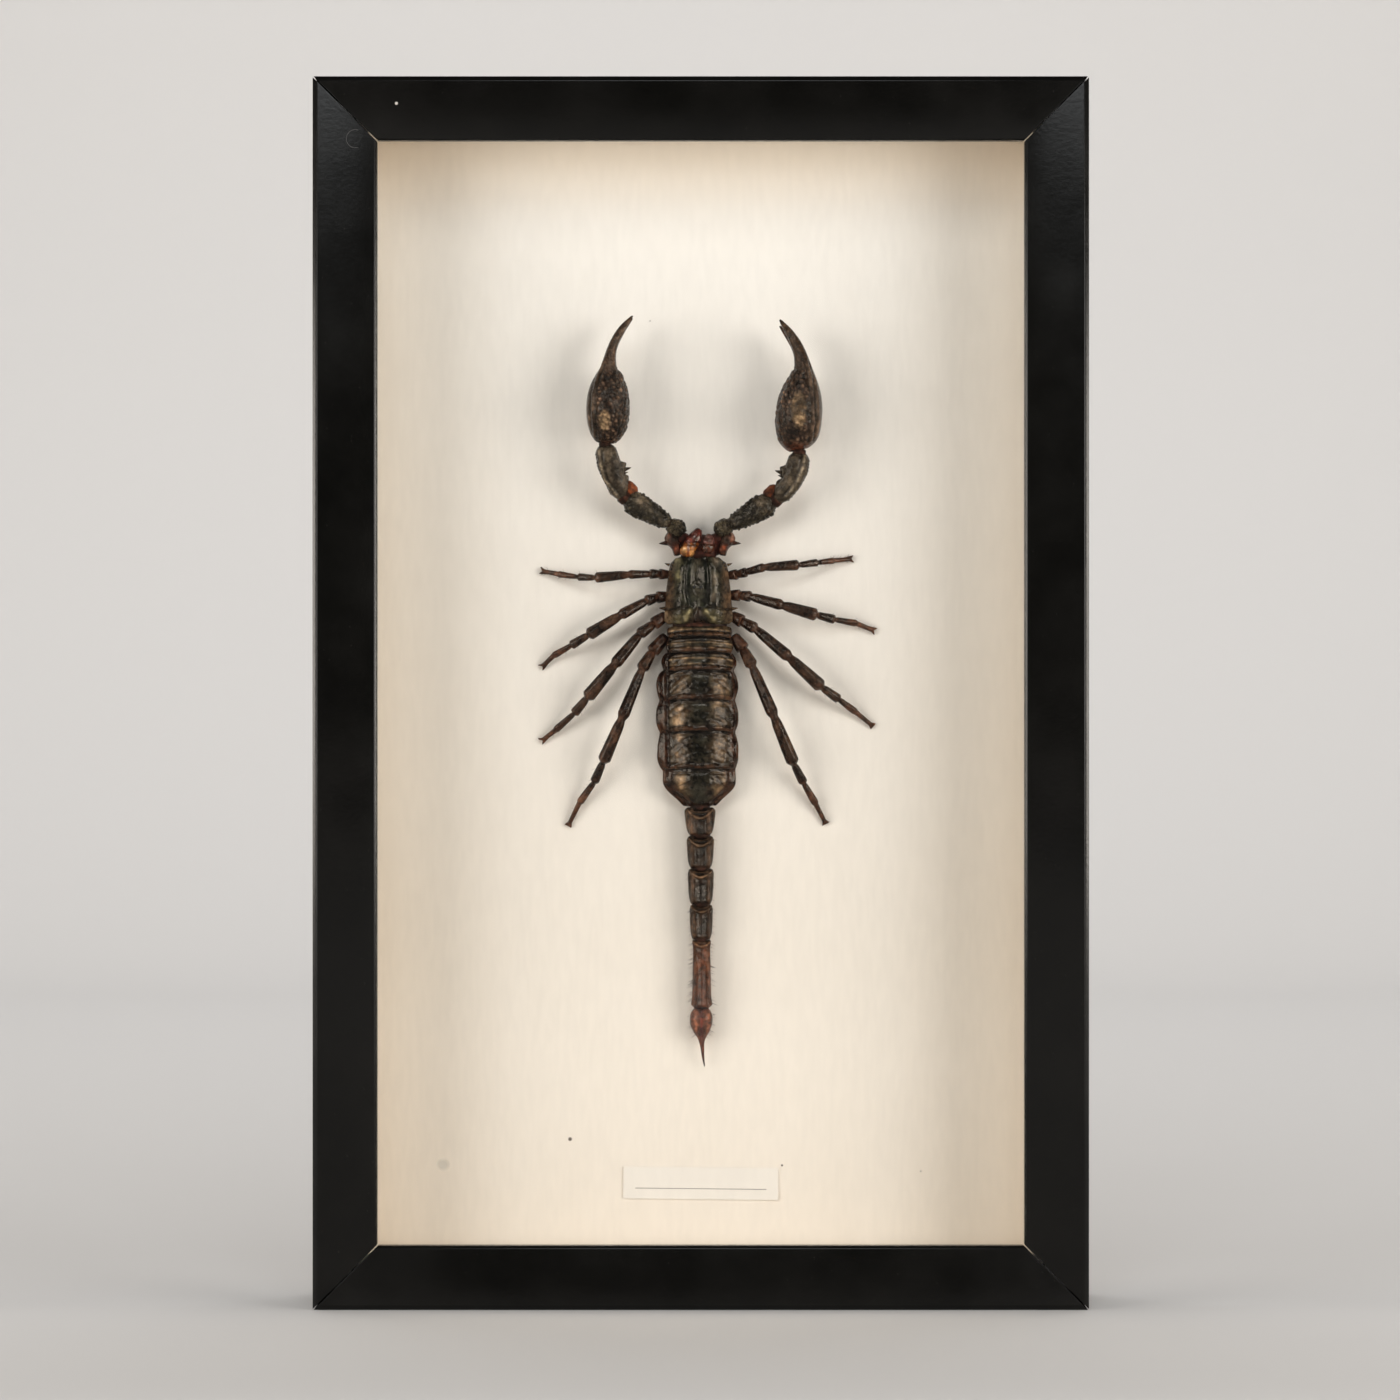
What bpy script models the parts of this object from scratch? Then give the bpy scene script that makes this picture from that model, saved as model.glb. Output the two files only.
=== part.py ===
"""A dried scorpion mounted in a black box frame behind glass.

The frame stands upright on its bottom rail: X to the right, Z up, and the glass faces -Y.
The origin is at the middle of the underside. Sizes are written in millimetres.
The specimen has its own measures: across the body, along it towards the head, and lift off the board.
"""

import math

import bmesh
import bpy
from mathutils import Vector

MM = 0.001
GAP = 0.3

# Frame
FRAME_WIDTH = 180.0
FRAME_HEIGHT = 286.0
FRAME_DEPTH = 40.0
RAIL_WIDTH = 15.0
REBATE_WIDTH = 5.0
LIP_THICKNESS = 3.5
OUTER_CHAMFER = 1.1
INNER_CHAMFER = 0.6
MITRE_SETBACK = 0.21

# Layers behind the lip, from the front to the back
GLASS_THICKNESS = 2.0
CASE_DEPTH = 22.4
SPACER_THICKNESS = 2.2
BOARD_THICKNESS = 1.6
PANEL_THICKNESS = 2.5
PANE_CLEARANCE = 0.5

# Name slip, tabs and hanger
SLIP_WIDTH = 36.6
SLIP_HEIGHT = 7.6
SLIP_THICKNESS = 0.3
SLIP_Z = 27.2
SLIP_TILT = math.radians(-0.6)
TAB_WIDTH = 8.0
TAB_LENGTH = 13.0
TAB_THICKNESS = 0.6
TAB_HEIGHTS = (70.0, 216.0)
HANGER_WIDTH = 34.0
HANGER_HEIGHT = 15.0
HANGER_THICKNESS = 0.8
HANGER_RISE = 1.5
HANGER_FOOT = 8.0
HANGER_Z = 240.0
KEYHOLE_RADIUS = 3.2
KEYHOLE_SLOT = 1.5
KEYHOLE_RISE = 5.0
RIVET_RADIUS = 1.9
RIVET_HEIGHT = 1.0
RIVET_SPACING = 26.0

FRONT = -FRAME_DEPTH / 2
BACK = FRAME_DEPTH / 2
GLASS_FRONT = FRONT + LIP_THICKNESS + GAP
GLASS_BACK = GLASS_FRONT + GLASS_THICKNESS
BOARD_FRONT = GLASS_BACK + CASE_DEPTH
BOARD_BACK = BOARD_FRONT + BOARD_THICKNESS
PANEL_FRONT = BOARD_BACK + GAP
PANEL_BACK = PANEL_FRONT + PANEL_THICKNESS
REBATE_HALF_WIDTH = FRAME_WIDTH / 2 - RAIL_WIDTH + REBATE_WIDTH
REBATE_HALF_HEIGHT = FRAME_HEIGHT / 2 - RAIL_WIDTH + REBATE_WIDTH

# Specimen: where its carapace meets its abdomen
SPECIMEN_X = -0.2
SPECIMEN_Z = 159.0

# Carapace
CARAPACE_LENGTH = 16.3
CARAPACE_REAR_HALF = 8.15
CARAPACE_FRONT_HALF = 6.6
CARAPACE_MIDDLE = -0.35
CARAPACE_EDGE_LIFT = 5.0
CARAPACE_CROWN = 3.3
LOBE_RISE = 0.8
LOBE_PLACE = 0.52
GROOVE_DEPTH = 1.3
EYE_RISE = 1.0
EYE_ALONG = 8.2
EYE_REACH = 1.15
NOTCH_DEPTH = 0.8

# The body's underside, from its rim inwards: share of the half width, and lift. The hips sit under the rim.
UNDERSIDE = ((1.0, 4.6), (0.8, 4.45), (0.76, 1.2), (0.45, 0.35))

# Abdomen: where each back plate ends along the body, and its crown above the board
PLATE_ENDS = (-2.9, -6.5, -10.8, -17.6, -25.1, -34.0)
PLATE_CROWNS = (8.3, 8.7, 8.9, 8.8, 8.6, 8.2, 7.6)
PLATE_HALVES = (7.5, 7.5, 7.3, 7.0, 7.2, 7.4, 7.3)
SKIN_LEFT = (8.3, 8.6, 9.0, 10.2, 10.3, 10.0, 8.6)
SKIN_RIGHT = (8.0, 8.3, 8.5, 8.9, 9.0, 9.0, 8.3)
ABDOMEN_END = -42.6
PLATE_STEP = 0.55
HIPS_END = -6.5
SIDE_SKIN = ((1.02, 4.9), (1.02, 3.4), (0.9, 1.5), (0.5, 0.35))

# Tail: front end, rear end, half width at the front and at the rear, half height and lift
TAIL_SEGMENTS = (
    (-42.9, -49.3, 3.75, 3.35, 2.9, 3.6),
    (-49.6, -57.0, 3.25, 3.15, 2.8, 3.5),
    (-57.3, -65.5, 3.1, 3.05, 2.7, 3.4),
    (-65.8, -73.8, 2.75, 2.75, 2.5, 3.3),
    (-74.1, -90.0, 2.2, 2.3, 2.3, 3.1),
)

# The profile of a tail segment from its front end: share of its length, of its half width and half height
BARREL = (
    (0.0, 0.78, 0.7), (0.05, 0.92, 0.84), (0.12, 1.0, 1.06), (0.25, 1.0, 0.97),
    (0.55, 0.98, 0.96), (0.8, 0.93, 1.0), (0.93, 0.85, 0.98), (1.0, 0.7, 0.8),
)
LAST_BARREL = (
    (0.0, 0.88, 0.7), (0.05, 1.0, 0.84), (0.12, 0.92, 1.04), (0.25, 0.93, 0.97),
    (0.55, 0.97, 0.96), (0.85, 1.0, 1.0), (0.96, 1.12, 1.0), (1.0, 0.86, 0.8),
)
TELSON = (
    (0.3, -90.35, 3.1, 1.5, 1.4), (0.3, -91.0, 3.1, 2.1, 2.0), (0.3, -92.3, 3.1, 2.6, 2.4),
    (0.3, -94.1, 3.1, 2.5, 2.4), (0.35, -95.7, 3.1, 1.8, 1.85), (0.4, -97.3, 3.1, 0.95, 1.1),
    (0.5, -98.9, 3.0, 0.52, 0.6), (0.62, -100.6, 2.8, 0.4, 0.44), (0.8, -102.4, 2.4, 0.3, 0.32),
    (1.1, -104.1, 1.9, 0.1, 0.1),
)

# Legs: joints across and along the body, from the hip to the tip
LEG_JOINTS = {
    "leg_left_1": (
        (-7.3, 12.0), (-9.5, 12.1), (-11.6, 12.1), (-16.6, 11.9),
        (-24.7, 11.2), (-28.7, 11.4), (-33.4, 12.1), (-37.2, 12.9),
    ),
    "leg_left_2": (
        (-7.4, 6.9), (-10.1, 6.6), (-12.5, 5.8), (-18.6, 2.4),
        (-26.3, -2.3), (-30.3, -4.7), (-34.5, -7.1), (-37.2, -9.6),
    ),
    "leg_left_3": (
        (-7.8, 2.5), (-11.0, 0.3), (-14.1, -2.0), (-20.0, -9.2),
        (-26.6, -17.1), (-29.6, -20.7), (-34.1, -24.7), (-37.2, -27.1),
    ),
    "leg_left_4": (
        (-7.9, -2.4), (-11.3, -6.3), (-13.6, -10.2), (-18.3, -21.8),
        (-22.8, -32.2), (-24.9, -36.9), (-28.4, -41.8), (-30.9, -46.9),
    ),
    "leg_right_1": (
        (6.6, 11.8), (8.8, 12.0), (10.8, 12.5), (15.0, 13.6),
        (23.3, 14.2), (27.7, 14.8), (31.5, 15.3), (35.7, 15.7),
    ),
    "leg_right_2": (
        (6.7, 7.1), (9.4, 7.1), (11.8, 6.8), (19.3, 4.7),
        (27.5, 2.4), (31.7, 1.4), (36.9, 0.5), (41.0, -1.2),
    ),
    "leg_right_3": (
        (7.2, 2.5), (10.0, 0.9), (12.9, -0.7), (20.9, -7.5),
        (28.7, -14.6), (32.7, -17.4), (36.7, -20.4), (40.5, -23.5),
    ),
    "leg_right_4": (
        (7.9, -2.4), (10.2, -5.6), (12.2, -9.4), (17.3, -21.2),
        (22.1, -32.7), (24.4, -37.1), (27.3, -42.1), (29.5, -46.4),
    ),
}
LEG_LIFTS = (2.5, 3.3, 4.6, 7.2, 5.4, 3.5, 1.8, 0.8)
LEG_HALF_WIDTHS = {
    "1": (1.15, 1.05, 0.95, 1.15, 0.8, 0.66, 0.55),
    "2": (1.3, 1.2, 1.2, 1.4, 1.0, 0.72, 0.56),
    "3": (1.45, 1.3, 1.35, 1.5, 1.05, 0.75, 0.56),
    "4": (1.55, 1.4, 1.35, 1.45, 1.0, 0.8, 0.56),
}
LEG_SIDES = 8
LEG_FLATNESS = 1.18

# Claws: stations across, along and half width, from the wrist to the tip of the fixed finger
LEFT_HAND = (
    (-22.2, 42.7, 2.1), (-22.1, 44.0, 3.6), (-21.7, 46.4, 4.8), (-21.6, 49.6, 5.2),
    (-21.6, 52.5, 5.15), (-21.5, 55.0, 4.75), (-21.35, 57.4, 3.95), (-21.35, 59.9, 2.5),
)
LEFT_FINGER = (
    (-21.45, 60.1, 1.9), (-21.0, 63.4, 1.25), (-20.3, 65.8, 1.05),
    (-19.1, 68.2, 0.95), (-17.6, 70.5, 0.7), (-15.8, 72.5, 0.2),
)
RIGHT_HAND = (
    (23.2, 41.0, 2.2), (22.9, 42.3, 4.1), (22.9, 44.6, 5.3), (23.1, 48.0, 5.6),
    (23.4, 51.0, 5.5), (23.6, 53.8, 5.15), (24.0, 56.8, 3.95), (24.15, 59.9, 2.45),
)
RIGHT_FINGER = (
    (24.15, 60.1, 2.1), (23.6, 63.2, 1.55), (22.7, 65.6, 1.3),
    (21.4, 67.9, 1.05), (20.0, 69.9, 0.75), (18.7, 71.6, 0.22),
)
HAND_LIFT = 10.2
HAND_HALF_DEPTHS = (2.3, 4.2, 5.9, 6.9, 7.1, 6.8, 5.9, 4.9)
FINGER_HALF_DEPTHS = (2.3, 1.9, 1.65, 1.4, 1.0, 0.25)
FINGER_OFFSETS = (2.75, 2.35, 2.0, 1.65, 1.2, 0.6)
LEFT_SHORTFALL = 0.5
RIGHT_SHORTFALL = 1.4

# Arms: stations across, along, lift, half width and half height
LEFT_FEMUR = (
    (-7.6, 24.1, 6.2, 1.4, 1.7), (-8.5, 24.7, 6.4, 1.75, 2.0), (-11.0, 26.1, 7.0, 2.25, 2.5),
    (-14.0, 27.9, 7.8, 2.75, 2.9), (-16.2, 29.0, 8.4, 2.45, 2.6), (-17.3, 29.6, 8.7, 1.2, 1.5),
)
LEFT_PATELLA = (
    (-18.25, 30.3, 8.9, 1.3, 1.6), (-19.0, 31.7, 9.1, 2.2, 2.4), (-20.2, 34.6, 9.4, 2.35, 2.9),
    (-21.3, 37.6, 9.8, 2.75, 3.2), (-22.1, 41.0, 10.1, 2.4, 2.8), (-22.25, 41.95, 10.2, 1.6, 1.9),
)
RIGHT_FEMUR = (
    (7.5, 23.8, 6.2, 1.4, 1.7), (8.4, 24.3, 6.4, 1.8, 2.0), (11.0, 25.7, 7.0, 2.3, 2.5),
    (13.9, 27.4, 7.8, 2.85, 2.9), (16.0, 28.4, 8.4, 2.55, 2.6), (17.2, 29.0, 8.7, 1.2, 1.5),
)
RIGHT_PATELLA = (
    (18.2, 29.6, 8.9, 1.3, 1.6), (19.3, 30.8, 9.1, 2.1, 2.4), (21.4, 33.4, 9.4, 2.3, 2.9),
    (22.7, 36.6, 9.8, 2.7, 3.2), (23.3, 39.2, 10.1, 2.4, 2.8), (23.4, 40.1, 10.2, 1.6, 1.9),
)
ARM_COXA = (
    (6.1, 16.9, 3.8, 1.4, 2.4), (6.3, 18.4, 4.0, 1.95, 2.9),
    (5.9, 19.9, 4.2, 1.95, 2.8), (5.4, 20.7, 4.4, 1.5, 2.2),
)
ARM_TROCHANTER = (
    (4.4, 22.15, 4.9, 1.0, 1.5), (5.0, 22.75, 5.3, 1.75, 2.1),
    (6.1, 23.2, 5.9, 1.8, 2.1), (7.05, 23.65, 6.1, 1.2, 1.5),
)

# Jaws: the left one reaches across the middle, ahead of the shorter right one
LEFT_JAW = (
    (-2.5, 17.25, 5.5, 1.55, 1.7), (-2.35, 18.1, 5.8, 1.75, 2.0), (-1.95, 19.2, 5.9, 1.75, 1.9),
    (-1.2, 20.4, 5.9, 1.6, 1.6), (-0.65, 21.5, 5.8, 1.25, 1.3), (-0.2, 22.5, 5.6, 0.6, 0.7),
)
RIGHT_JAW = (
    (1.6, 17.25, 5.3, 1.5, 1.6), (1.8, 18.1, 5.5, 1.6, 1.8), (2.0, 19.2, 5.5, 1.45, 1.7),
    (2.1, 20.2, 5.4, 1.25, 1.4), (2.0, 21.0, 5.2, 0.7, 0.9), (1.95, 21.3, 5.1, 0.35, 0.5),
)

COLOURS = {
    "black_lacquer": ((0.012, 0.011, 0.010), 0.35, 0.0),
    "clear_glass": ((0.92, 0.95, 0.94), 0.03, 0.0),
    "cream_board": ((0.86, 0.79, 0.69), 0.8, 0.0),
    "spacer_paper": ((0.80, 0.74, 0.65), 0.8, 0.0),
    "slip_paper": ((0.88, 0.82, 0.74), 0.75, 0.0),
    "brown_fibreboard": ((0.24, 0.15, 0.08), 0.85, 0.0),
    "zinc_steel": ((0.55, 0.56, 0.57), 0.35, 1.0),
    "black_shell": ((0.022, 0.017, 0.014), 0.3, 0.0),
    "brown_shell": ((0.045, 0.024, 0.015), 0.35, 0.0),
    "red_shell": ((0.09, 0.028, 0.016), 0.35, 0.0),
    "claw_shell": ((0.035, 0.023, 0.018), 0.35, 0.0),
}


def clear_scene():
    for item in list(bpy.data.objects):
        bpy.data.objects.remove(item, do_unlink=True)


def make_material(name):
    colour, roughness, metallic = COLOURS[name]
    material = bpy.data.materials.new(name)
    material.use_nodes = True
    shader = material.node_tree.nodes["Principled BSDF"]
    shader.inputs["Base Color"].default_value = (*colour, 1.0)
    shader.inputs["Roughness"].default_value = roughness
    shader.inputs["Metallic"].default_value = metallic
    if name == "clear_glass":
        shader.inputs["Transmission Weight"].default_value = 1.0
    return material


def make_object(name, shape, material_name, parent=None, smooth_angle=None):
    """Closes a bmesh into a named object with a material of its own."""
    bmesh.ops.recalc_face_normals(shape, faces=shape.faces)
    mesh = bpy.data.meshes.new(name)
    shape.to_mesh(mesh)
    shape.free()
    if smooth_angle is not None:
        mesh.shade_smooth()
        mesh.set_sharp_from_angle(angle=math.radians(smooth_angle))
    mesh.materials.append(make_material(material_name))
    item = bpy.data.objects.new(name, mesh)
    item.parent = parent
    bpy.context.scene.collection.objects.link(item)
    return item


def loft(rings):
    """A closed shape through rings of points, with a face over each end."""
    shape = bmesh.new()
    rows = [[shape.verts.new(point * MM) for point in ring] for ring in rings]
    for near, far in zip(rows, rows[1:]):
        for i, corner in enumerate(near):
            j = (i + 1) % len(near)
            shape.faces.new((corner, near[j], far[j], far[i]))
    shape.faces.new(rows[0][::-1])
    shape.faces.new(rows[-1])
    return shape


def block(low, high):
    """A box between two corners."""
    outline = ((low[0], low[2]), (high[0], low[2]), (high[0], high[2]), (low[0], high[2]))
    return loft([[Vector((x, y, z)) for x, z in outline] for y in (low[1], high[1])])


def disc_rings(centre, radius, depths, sides=24):
    """Circles facing along Y, one for each depth."""
    turns = [2 * math.pi * i / sides for i in range(sides)]
    return [
        [Vector((centre[0] + radius * math.cos(t), y, centre[1] + radius * math.sin(t))) for t in turns]
        for y in depths
    ]


def rail(name, length, turn, centre, parent):
    """A mitred rail: its section is drawn from the outer edge inwards, then laid along one side."""
    inner = RAIL_WIDTH
    wall = RAIL_WIDTH - REBATE_WIDTH
    section = (
        (0.0, BACK),
        (0.0, FRONT + OUTER_CHAMFER),
        (OUTER_CHAMFER, FRONT),
        (inner - INNER_CHAMFER, FRONT),
        (inner, FRONT + INNER_CHAMFER),
        (inner, FRONT + LIP_THICKNESS),
        (wall, FRONT + LIP_THICKNESS),
        (wall, BACK),
    )
    ends = []
    for end in (-1, 1):
        reach = [end * (length / 2 - MITRE_SETBACK - inward) for inward, depth in section]
        ends.append([Vector((x, depth, inward)) for x, (inward, depth) in zip(reach, section)])
    item = make_object(name, loft(ends), "black_lacquer", parent)
    item.location = Vector(centre) * MM
    item.rotation_euler = (0.0, turn, 0.0)
    return item


def build_rails(parent):
    middle = FRAME_HEIGHT / 2
    half = FRAME_WIDTH / 2
    quarter = math.pi / 2
    rail("frame_rail_bottom", FRAME_WIDTH, 0.0, (0.0, 0.0, 0.0), parent)
    rail("frame_rail_top", FRAME_WIDTH, 2 * quarter, (0.0, 0.0, FRAME_HEIGHT), parent)
    rail("frame_rail_left", FRAME_HEIGHT, quarter, (-half, 0.0, middle), parent)
    rail("frame_rail_right", FRAME_HEIGHT, -quarter, (half, 0.0, middle), parent)


def pane(name, front, back, material_name, parent):
    """A sheet that fills the rebate, with a little clearance all round."""
    half_width = REBATE_HALF_WIDTH - PANE_CLEARANCE
    half_height = REBATE_HALF_HEIGHT - PANE_CLEARANCE
    middle = FRAME_HEIGHT / 2
    low = (-half_width, front, middle - half_height)
    high = (half_width, back, middle + half_height)
    return make_object(name, block(low, high), material_name, parent)


def build_spacers(parent):
    """Pale strips round the rebate that keep the glass off the board."""
    front = GLASS_BACK + GAP
    back = BOARD_FRONT - GAP
    middle = FRAME_HEIGHT / 2
    outer_x = REBATE_HALF_WIDTH - GAP
    outer_z = REBATE_HALF_HEIGHT - GAP
    inner_x = outer_x - SPACER_THICKNESS
    inner_z = outer_z - SPACER_THICKNESS
    strips = {
        "spacer_strip_top": ((-outer_x, inner_z), (outer_x, outer_z)),
        "spacer_strip_bottom": ((-outer_x, -outer_z), (outer_x, -inner_z)),
        "spacer_strip_left": ((-outer_x, -inner_z + GAP), (-inner_x, inner_z - GAP)),
        "spacer_strip_right": ((inner_x, -inner_z + GAP), (outer_x, inner_z - GAP)),
    }
    for name, (low, high) in strips.items():
        shape = block((low[0], front, middle + low[1]), (high[0], back, middle + high[1]))
        make_object(name, shape, "spacer_paper", parent)


def build_name_slip(parent):
    """The paper slip under the specimen, stuck on very slightly askew."""
    back = BOARD_FRONT - GAP
    low = (-SLIP_WIDTH / 2, back - SLIP_THICKNESS, -SLIP_HEIGHT / 2)
    high = (SLIP_WIDTH / 2, back, SLIP_HEIGHT / 2)
    slip = make_object("name_slip", block(low, high), "slip_paper", parent)
    slip.location = (0.0, 0.0, SLIP_Z * MM)
    slip.rotation_euler = (0.0, -SLIP_TILT, 0.0)


def tab(name, edge, turn, parent):
    """A steel tab that starts at the rebate wall and lies over the back panel."""
    low = (-TAB_WIDTH / 2, PANEL_BACK + GAP, GAP)
    high = (TAB_WIDTH / 2, PANEL_BACK + GAP + TAB_THICKNESS, TAB_LENGTH)
    item = make_object(name, block(low, high), "zinc_steel", parent)
    item.location = Vector((edge[0], 0.0, edge[1])) * MM
    item.rotation_euler = (0.0, turn, 0.0)


def build_tabs(parent):
    middle = FRAME_HEIGHT / 2
    quarter = math.pi / 2
    tab("back_tab_bottom", (0.0, middle - REBATE_HALF_HEIGHT), 0.0, parent)
    tab("back_tab_top", (0.0, middle + REBATE_HALF_HEIGHT), 2 * quarter, parent)
    for place, height in zip(("lower", "upper"), TAB_HEIGHTS):
        tab(f"back_tab_left_{place}", (-REBATE_HALF_WIDTH, height), quarter, parent)
        tab(f"back_tab_right_{place}", (REBATE_HALF_WIDTH, height), -quarter, parent)


def keyhole_outline(sides=16):
    """A round hole that narrows upwards into a slot, as points across and up."""
    edge = math.asin(KEYHOLE_SLOT / KEYHOLE_RADIUS)
    sweep = 2 * math.pi - 2 * edge
    steps = range(sides + 1)
    low = [math.pi / 2 + edge + sweep * i / sides for i in steps]
    points = [(KEYHOLE_RADIUS * math.cos(t), KEYHOLE_RADIUS * math.sin(t)) for t in low]
    half = sides // 2
    top = [math.pi * i / half for i in range(half + 1)]
    points += [(KEYHOLE_SLOT * math.cos(t), KEYHOLE_RISE + KEYHOLE_SLOT * math.sin(t)) for t in top]
    return points


def build_hanger(parent):
    """The keyhole plate: its middle is raised off the back panel, and a rivet holds each foot."""
    front = PANEL_BACK + GAP
    back = front + HANGER_THICKNESS
    half = HANGER_WIDTH / 2
    foot = half - HANGER_FOOT
    ramp = foot - HANGER_RISE
    side = [(half, 0.0), (foot, 0.0), (ramp, HANGER_RISE)]
    under = [(-x, rise) for x, rise in side] + side[::-1]
    outline = [(x, front + rise) for x, rise in under] + [(x, back + rise) for x, rise in under[::-1]]
    reach = (HANGER_Z - HANGER_HEIGHT / 2, HANGER_Z + HANGER_HEIGHT / 2)
    shape = loft([[Vector((x, y, z)) for x, y in outline] for z in reach])
    plate = make_object("hanger_plate", shape, "zinc_steel", parent)
    base = HANGER_Z - KEYHOLE_RISE / 2
    depths = (front, back + HANGER_RISE + 1)
    rings = [[Vector((x, y, base + z)) for x, z in keyhole_outline()] for y in depths]
    cutter = make_object("hanger_keyhole_cutter", loft(rings), "zinc_steel", parent)
    cutter.hide_render = True
    cutter.display_type = "WIRE"
    cut = plate.modifiers.new("keyhole", "BOOLEAN")
    cut.operation = "DIFFERENCE"
    cut.solver = "EXACT"
    cut.object = cutter
    for side, x in (("left", -RIVET_SPACING / 2), ("right", RIVET_SPACING / 2)):
        start = back + GAP
        rings = disc_rings((x, HANGER_Z), RIVET_RADIUS, (start, start + RIVET_HEIGHT / 2))
        rings += disc_rings((x, HANGER_Z), RIVET_RADIUS * 0.6, (start + RIVET_HEIGHT,))
        make_object(f"hanger_rivet_{side}", loft(rings), "zinc_steel", parent, smooth_angle=30)


def on_board(across, along, lift):
    """A point of the specimen in the frame's own millimetres."""
    return Vector((SPECIMEN_X + across, BOARD_FRONT - lift, SPECIMEN_Z + along))


def oval(sides, squareness=2.4):
    """A unit outline between a circle (2) and a square (large)."""
    points = []
    for i in range(sides):
        turn = 2 * math.pi * (i + 0.5) / sides
        c = math.cos(turn)
        s = math.sin(turn)
        power = 2.0 / squareness
        points.append((math.copysign(abs(c) ** power, c), math.copysign(abs(s) ** power, s)))
    return points


KEELED = (
    (0.0, 0.8), (0.34, 0.9), (0.64, 1.0), (0.86, 0.74), (1.0, 0.42), (0.95, -0.1),
    (0.98, -0.5), (0.62, -0.93), (0.0, -0.97), (-0.62, -0.93), (-0.98, -0.5), (-0.95, -0.1),
    (-1.0, 0.42), (-0.86, 0.74), (-0.64, 1.0), (-0.34, 0.9),
)


def limb_rings(stations, outline, upright=False):
    """Rings along a limb from stations across, along, lift, half width and half height.

    Upright rings stand square on the board even where the limb climbs.
    """
    centres = [on_board(*station[:3]) for station in stations]
    outward = Vector((0.0, -1.0, 0.0))
    rings = []
    for i, (centre, station) in enumerate(zip(centres, stations)):
        ahead = centres[min(i + 1, len(centres) - 1)]
        behind = centres[max(i - 1, 0)]
        course = (ahead - behind).normalized()
        if upright:
            course = Vector((course.x, 0.0, course.z)).normalized()
        side = course.cross(outward).normalized()
        rise = side.cross(course).normalized()
        half_width, half_height = station[3:5]
        rings.append([centre + side * (u * half_width) + rise * (v * half_height) for u, v in outline])
    return rings


def spike(shape, root, tip, thickness):
    """Draws the face nearest the root out to a blunt point at the tip."""
    root = root * MM
    tip = tip * MM
    face = min(shape.faces, key=lambda f: (f.calc_center_median() - root).length)
    result = bmesh.ops.extrude_discrete_faces(shape, faces=[face])
    point = result["faces"][0]
    centre = point.calc_center_median()
    size = max((corner.co - centre).length for corner in point.verts)
    shrink = thickness * MM / size
    for corner in point.verts:
        corner.co = tip + (corner.co - centre) * shrink


def carapace_lift(u, half_width, along):
    """Height of the carapace, u running from -1 at its left edge to 1 at its right."""
    ahead = along / CARAPACE_LENGTH
    lobes = LOBE_RISE * math.exp(-(((abs(u) - LOBE_PLACE) / 0.24) ** 2)) * min(1.0, 0.25 + 1.5 * ahead)
    groove = GROOVE_DEPTH * math.exp(-((u / (0.3 - 0.16 * ahead)) ** 2))
    eyes = EYE_RISE * math.exp(-((u * half_width / EYE_REACH) ** 2) - ((along - EYE_ALONG) / EYE_REACH) ** 2)
    brow = 1.5 * max(0.0, (ahead - 0.8) / 0.2) ** 2
    nape = 0.7 * max(0.0, (0.12 - ahead) / 0.12) ** 2
    crown = CARAPACE_CROWN * (1 - abs(u) ** 3.2)
    return CARAPACE_EDGE_LIFT + crown + lobes - groove + eyes - brow - nape


def build_carapace(parent):
    rows = 15
    columns = 19
    rings = []
    for row in range(rows):
        ahead = row / (rows - 1)
        taper = ahead**1.6
        half_width = CARAPACE_REAR_HALF + (CARAPACE_FRONT_HALF - CARAPACE_REAR_HALF) * taper
        half_width -= 0.5 * max(0.0, (ahead - 0.9) / 0.1)
        ring = []
        for column in range(columns):
            u = -1 + 2 * column / (columns - 1)
            bow = NOTCH_DEPTH * math.exp(-((u / 0.2) ** 2)) + 0.9 * u**4
            along = ahead * (CARAPACE_LENGTH - bow * ahead)
            across = CARAPACE_MIDDLE + u * half_width
            ring.append(on_board(across, along + 0.15, carapace_lift(u, half_width, along)))
        along = ahead * (CARAPACE_LENGTH - 0.9)
        for u, lift in UNDERSIDE:
            ring.append(on_board(CARAPACE_MIDDLE + u * half_width, along + 0.15, lift))
        for u, lift in reversed(UNDERSIDE):
            ring.append(on_board(CARAPACE_MIDDLE - u * half_width, along + 0.15, lift))
        rings.append(ring)
    make_object("carapace", loft(rings), "black_shell", parent, smooth_angle=50)


def abdomen_stations():
    """Stations along the abdomen: along, crown, plate half width, and the skin's reach to each side."""
    starts = (-0.15,) + PLATE_ENDS
    ends = PLATE_ENDS + (ABDOMEN_END,)
    stations = []
    for i, (start, end) in enumerate(zip(starts, ends)):
        crown, half = PLATE_CROWNS[i], PLATE_HALVES[i]
        left, right = SKIN_LEFT[i], SKIN_RIGHT[i]
        length = end - start
        if i < len(ends) - 1:
            shares = ((0.02, -PLATE_STEP, -1.0), (0.3, -0.15, -0.15), (0.7, 0.1, 0.0), (0.97, 0.15, -0.8))
            for share, rise, pinch in shares:
                stations.append((start + length * share, crown + rise, half, left + pinch, right + pinch))
            continue
        shares = ((0.02, -0.55, 0.97), (0.18, 0.0, 1.0), (0.45, -0.15, 0.99), (0.65, -0.6, 0.88),
                  (0.8, -1.0, 0.74), (0.92, -1.5, 0.6), (1.0, -2.0, 0.48))
        for share, rise, narrow in shares:
            stations.append(
                (start + length * share, crown + rise, half * narrow, left * narrow, right * narrow)
            )
    return stations


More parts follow.
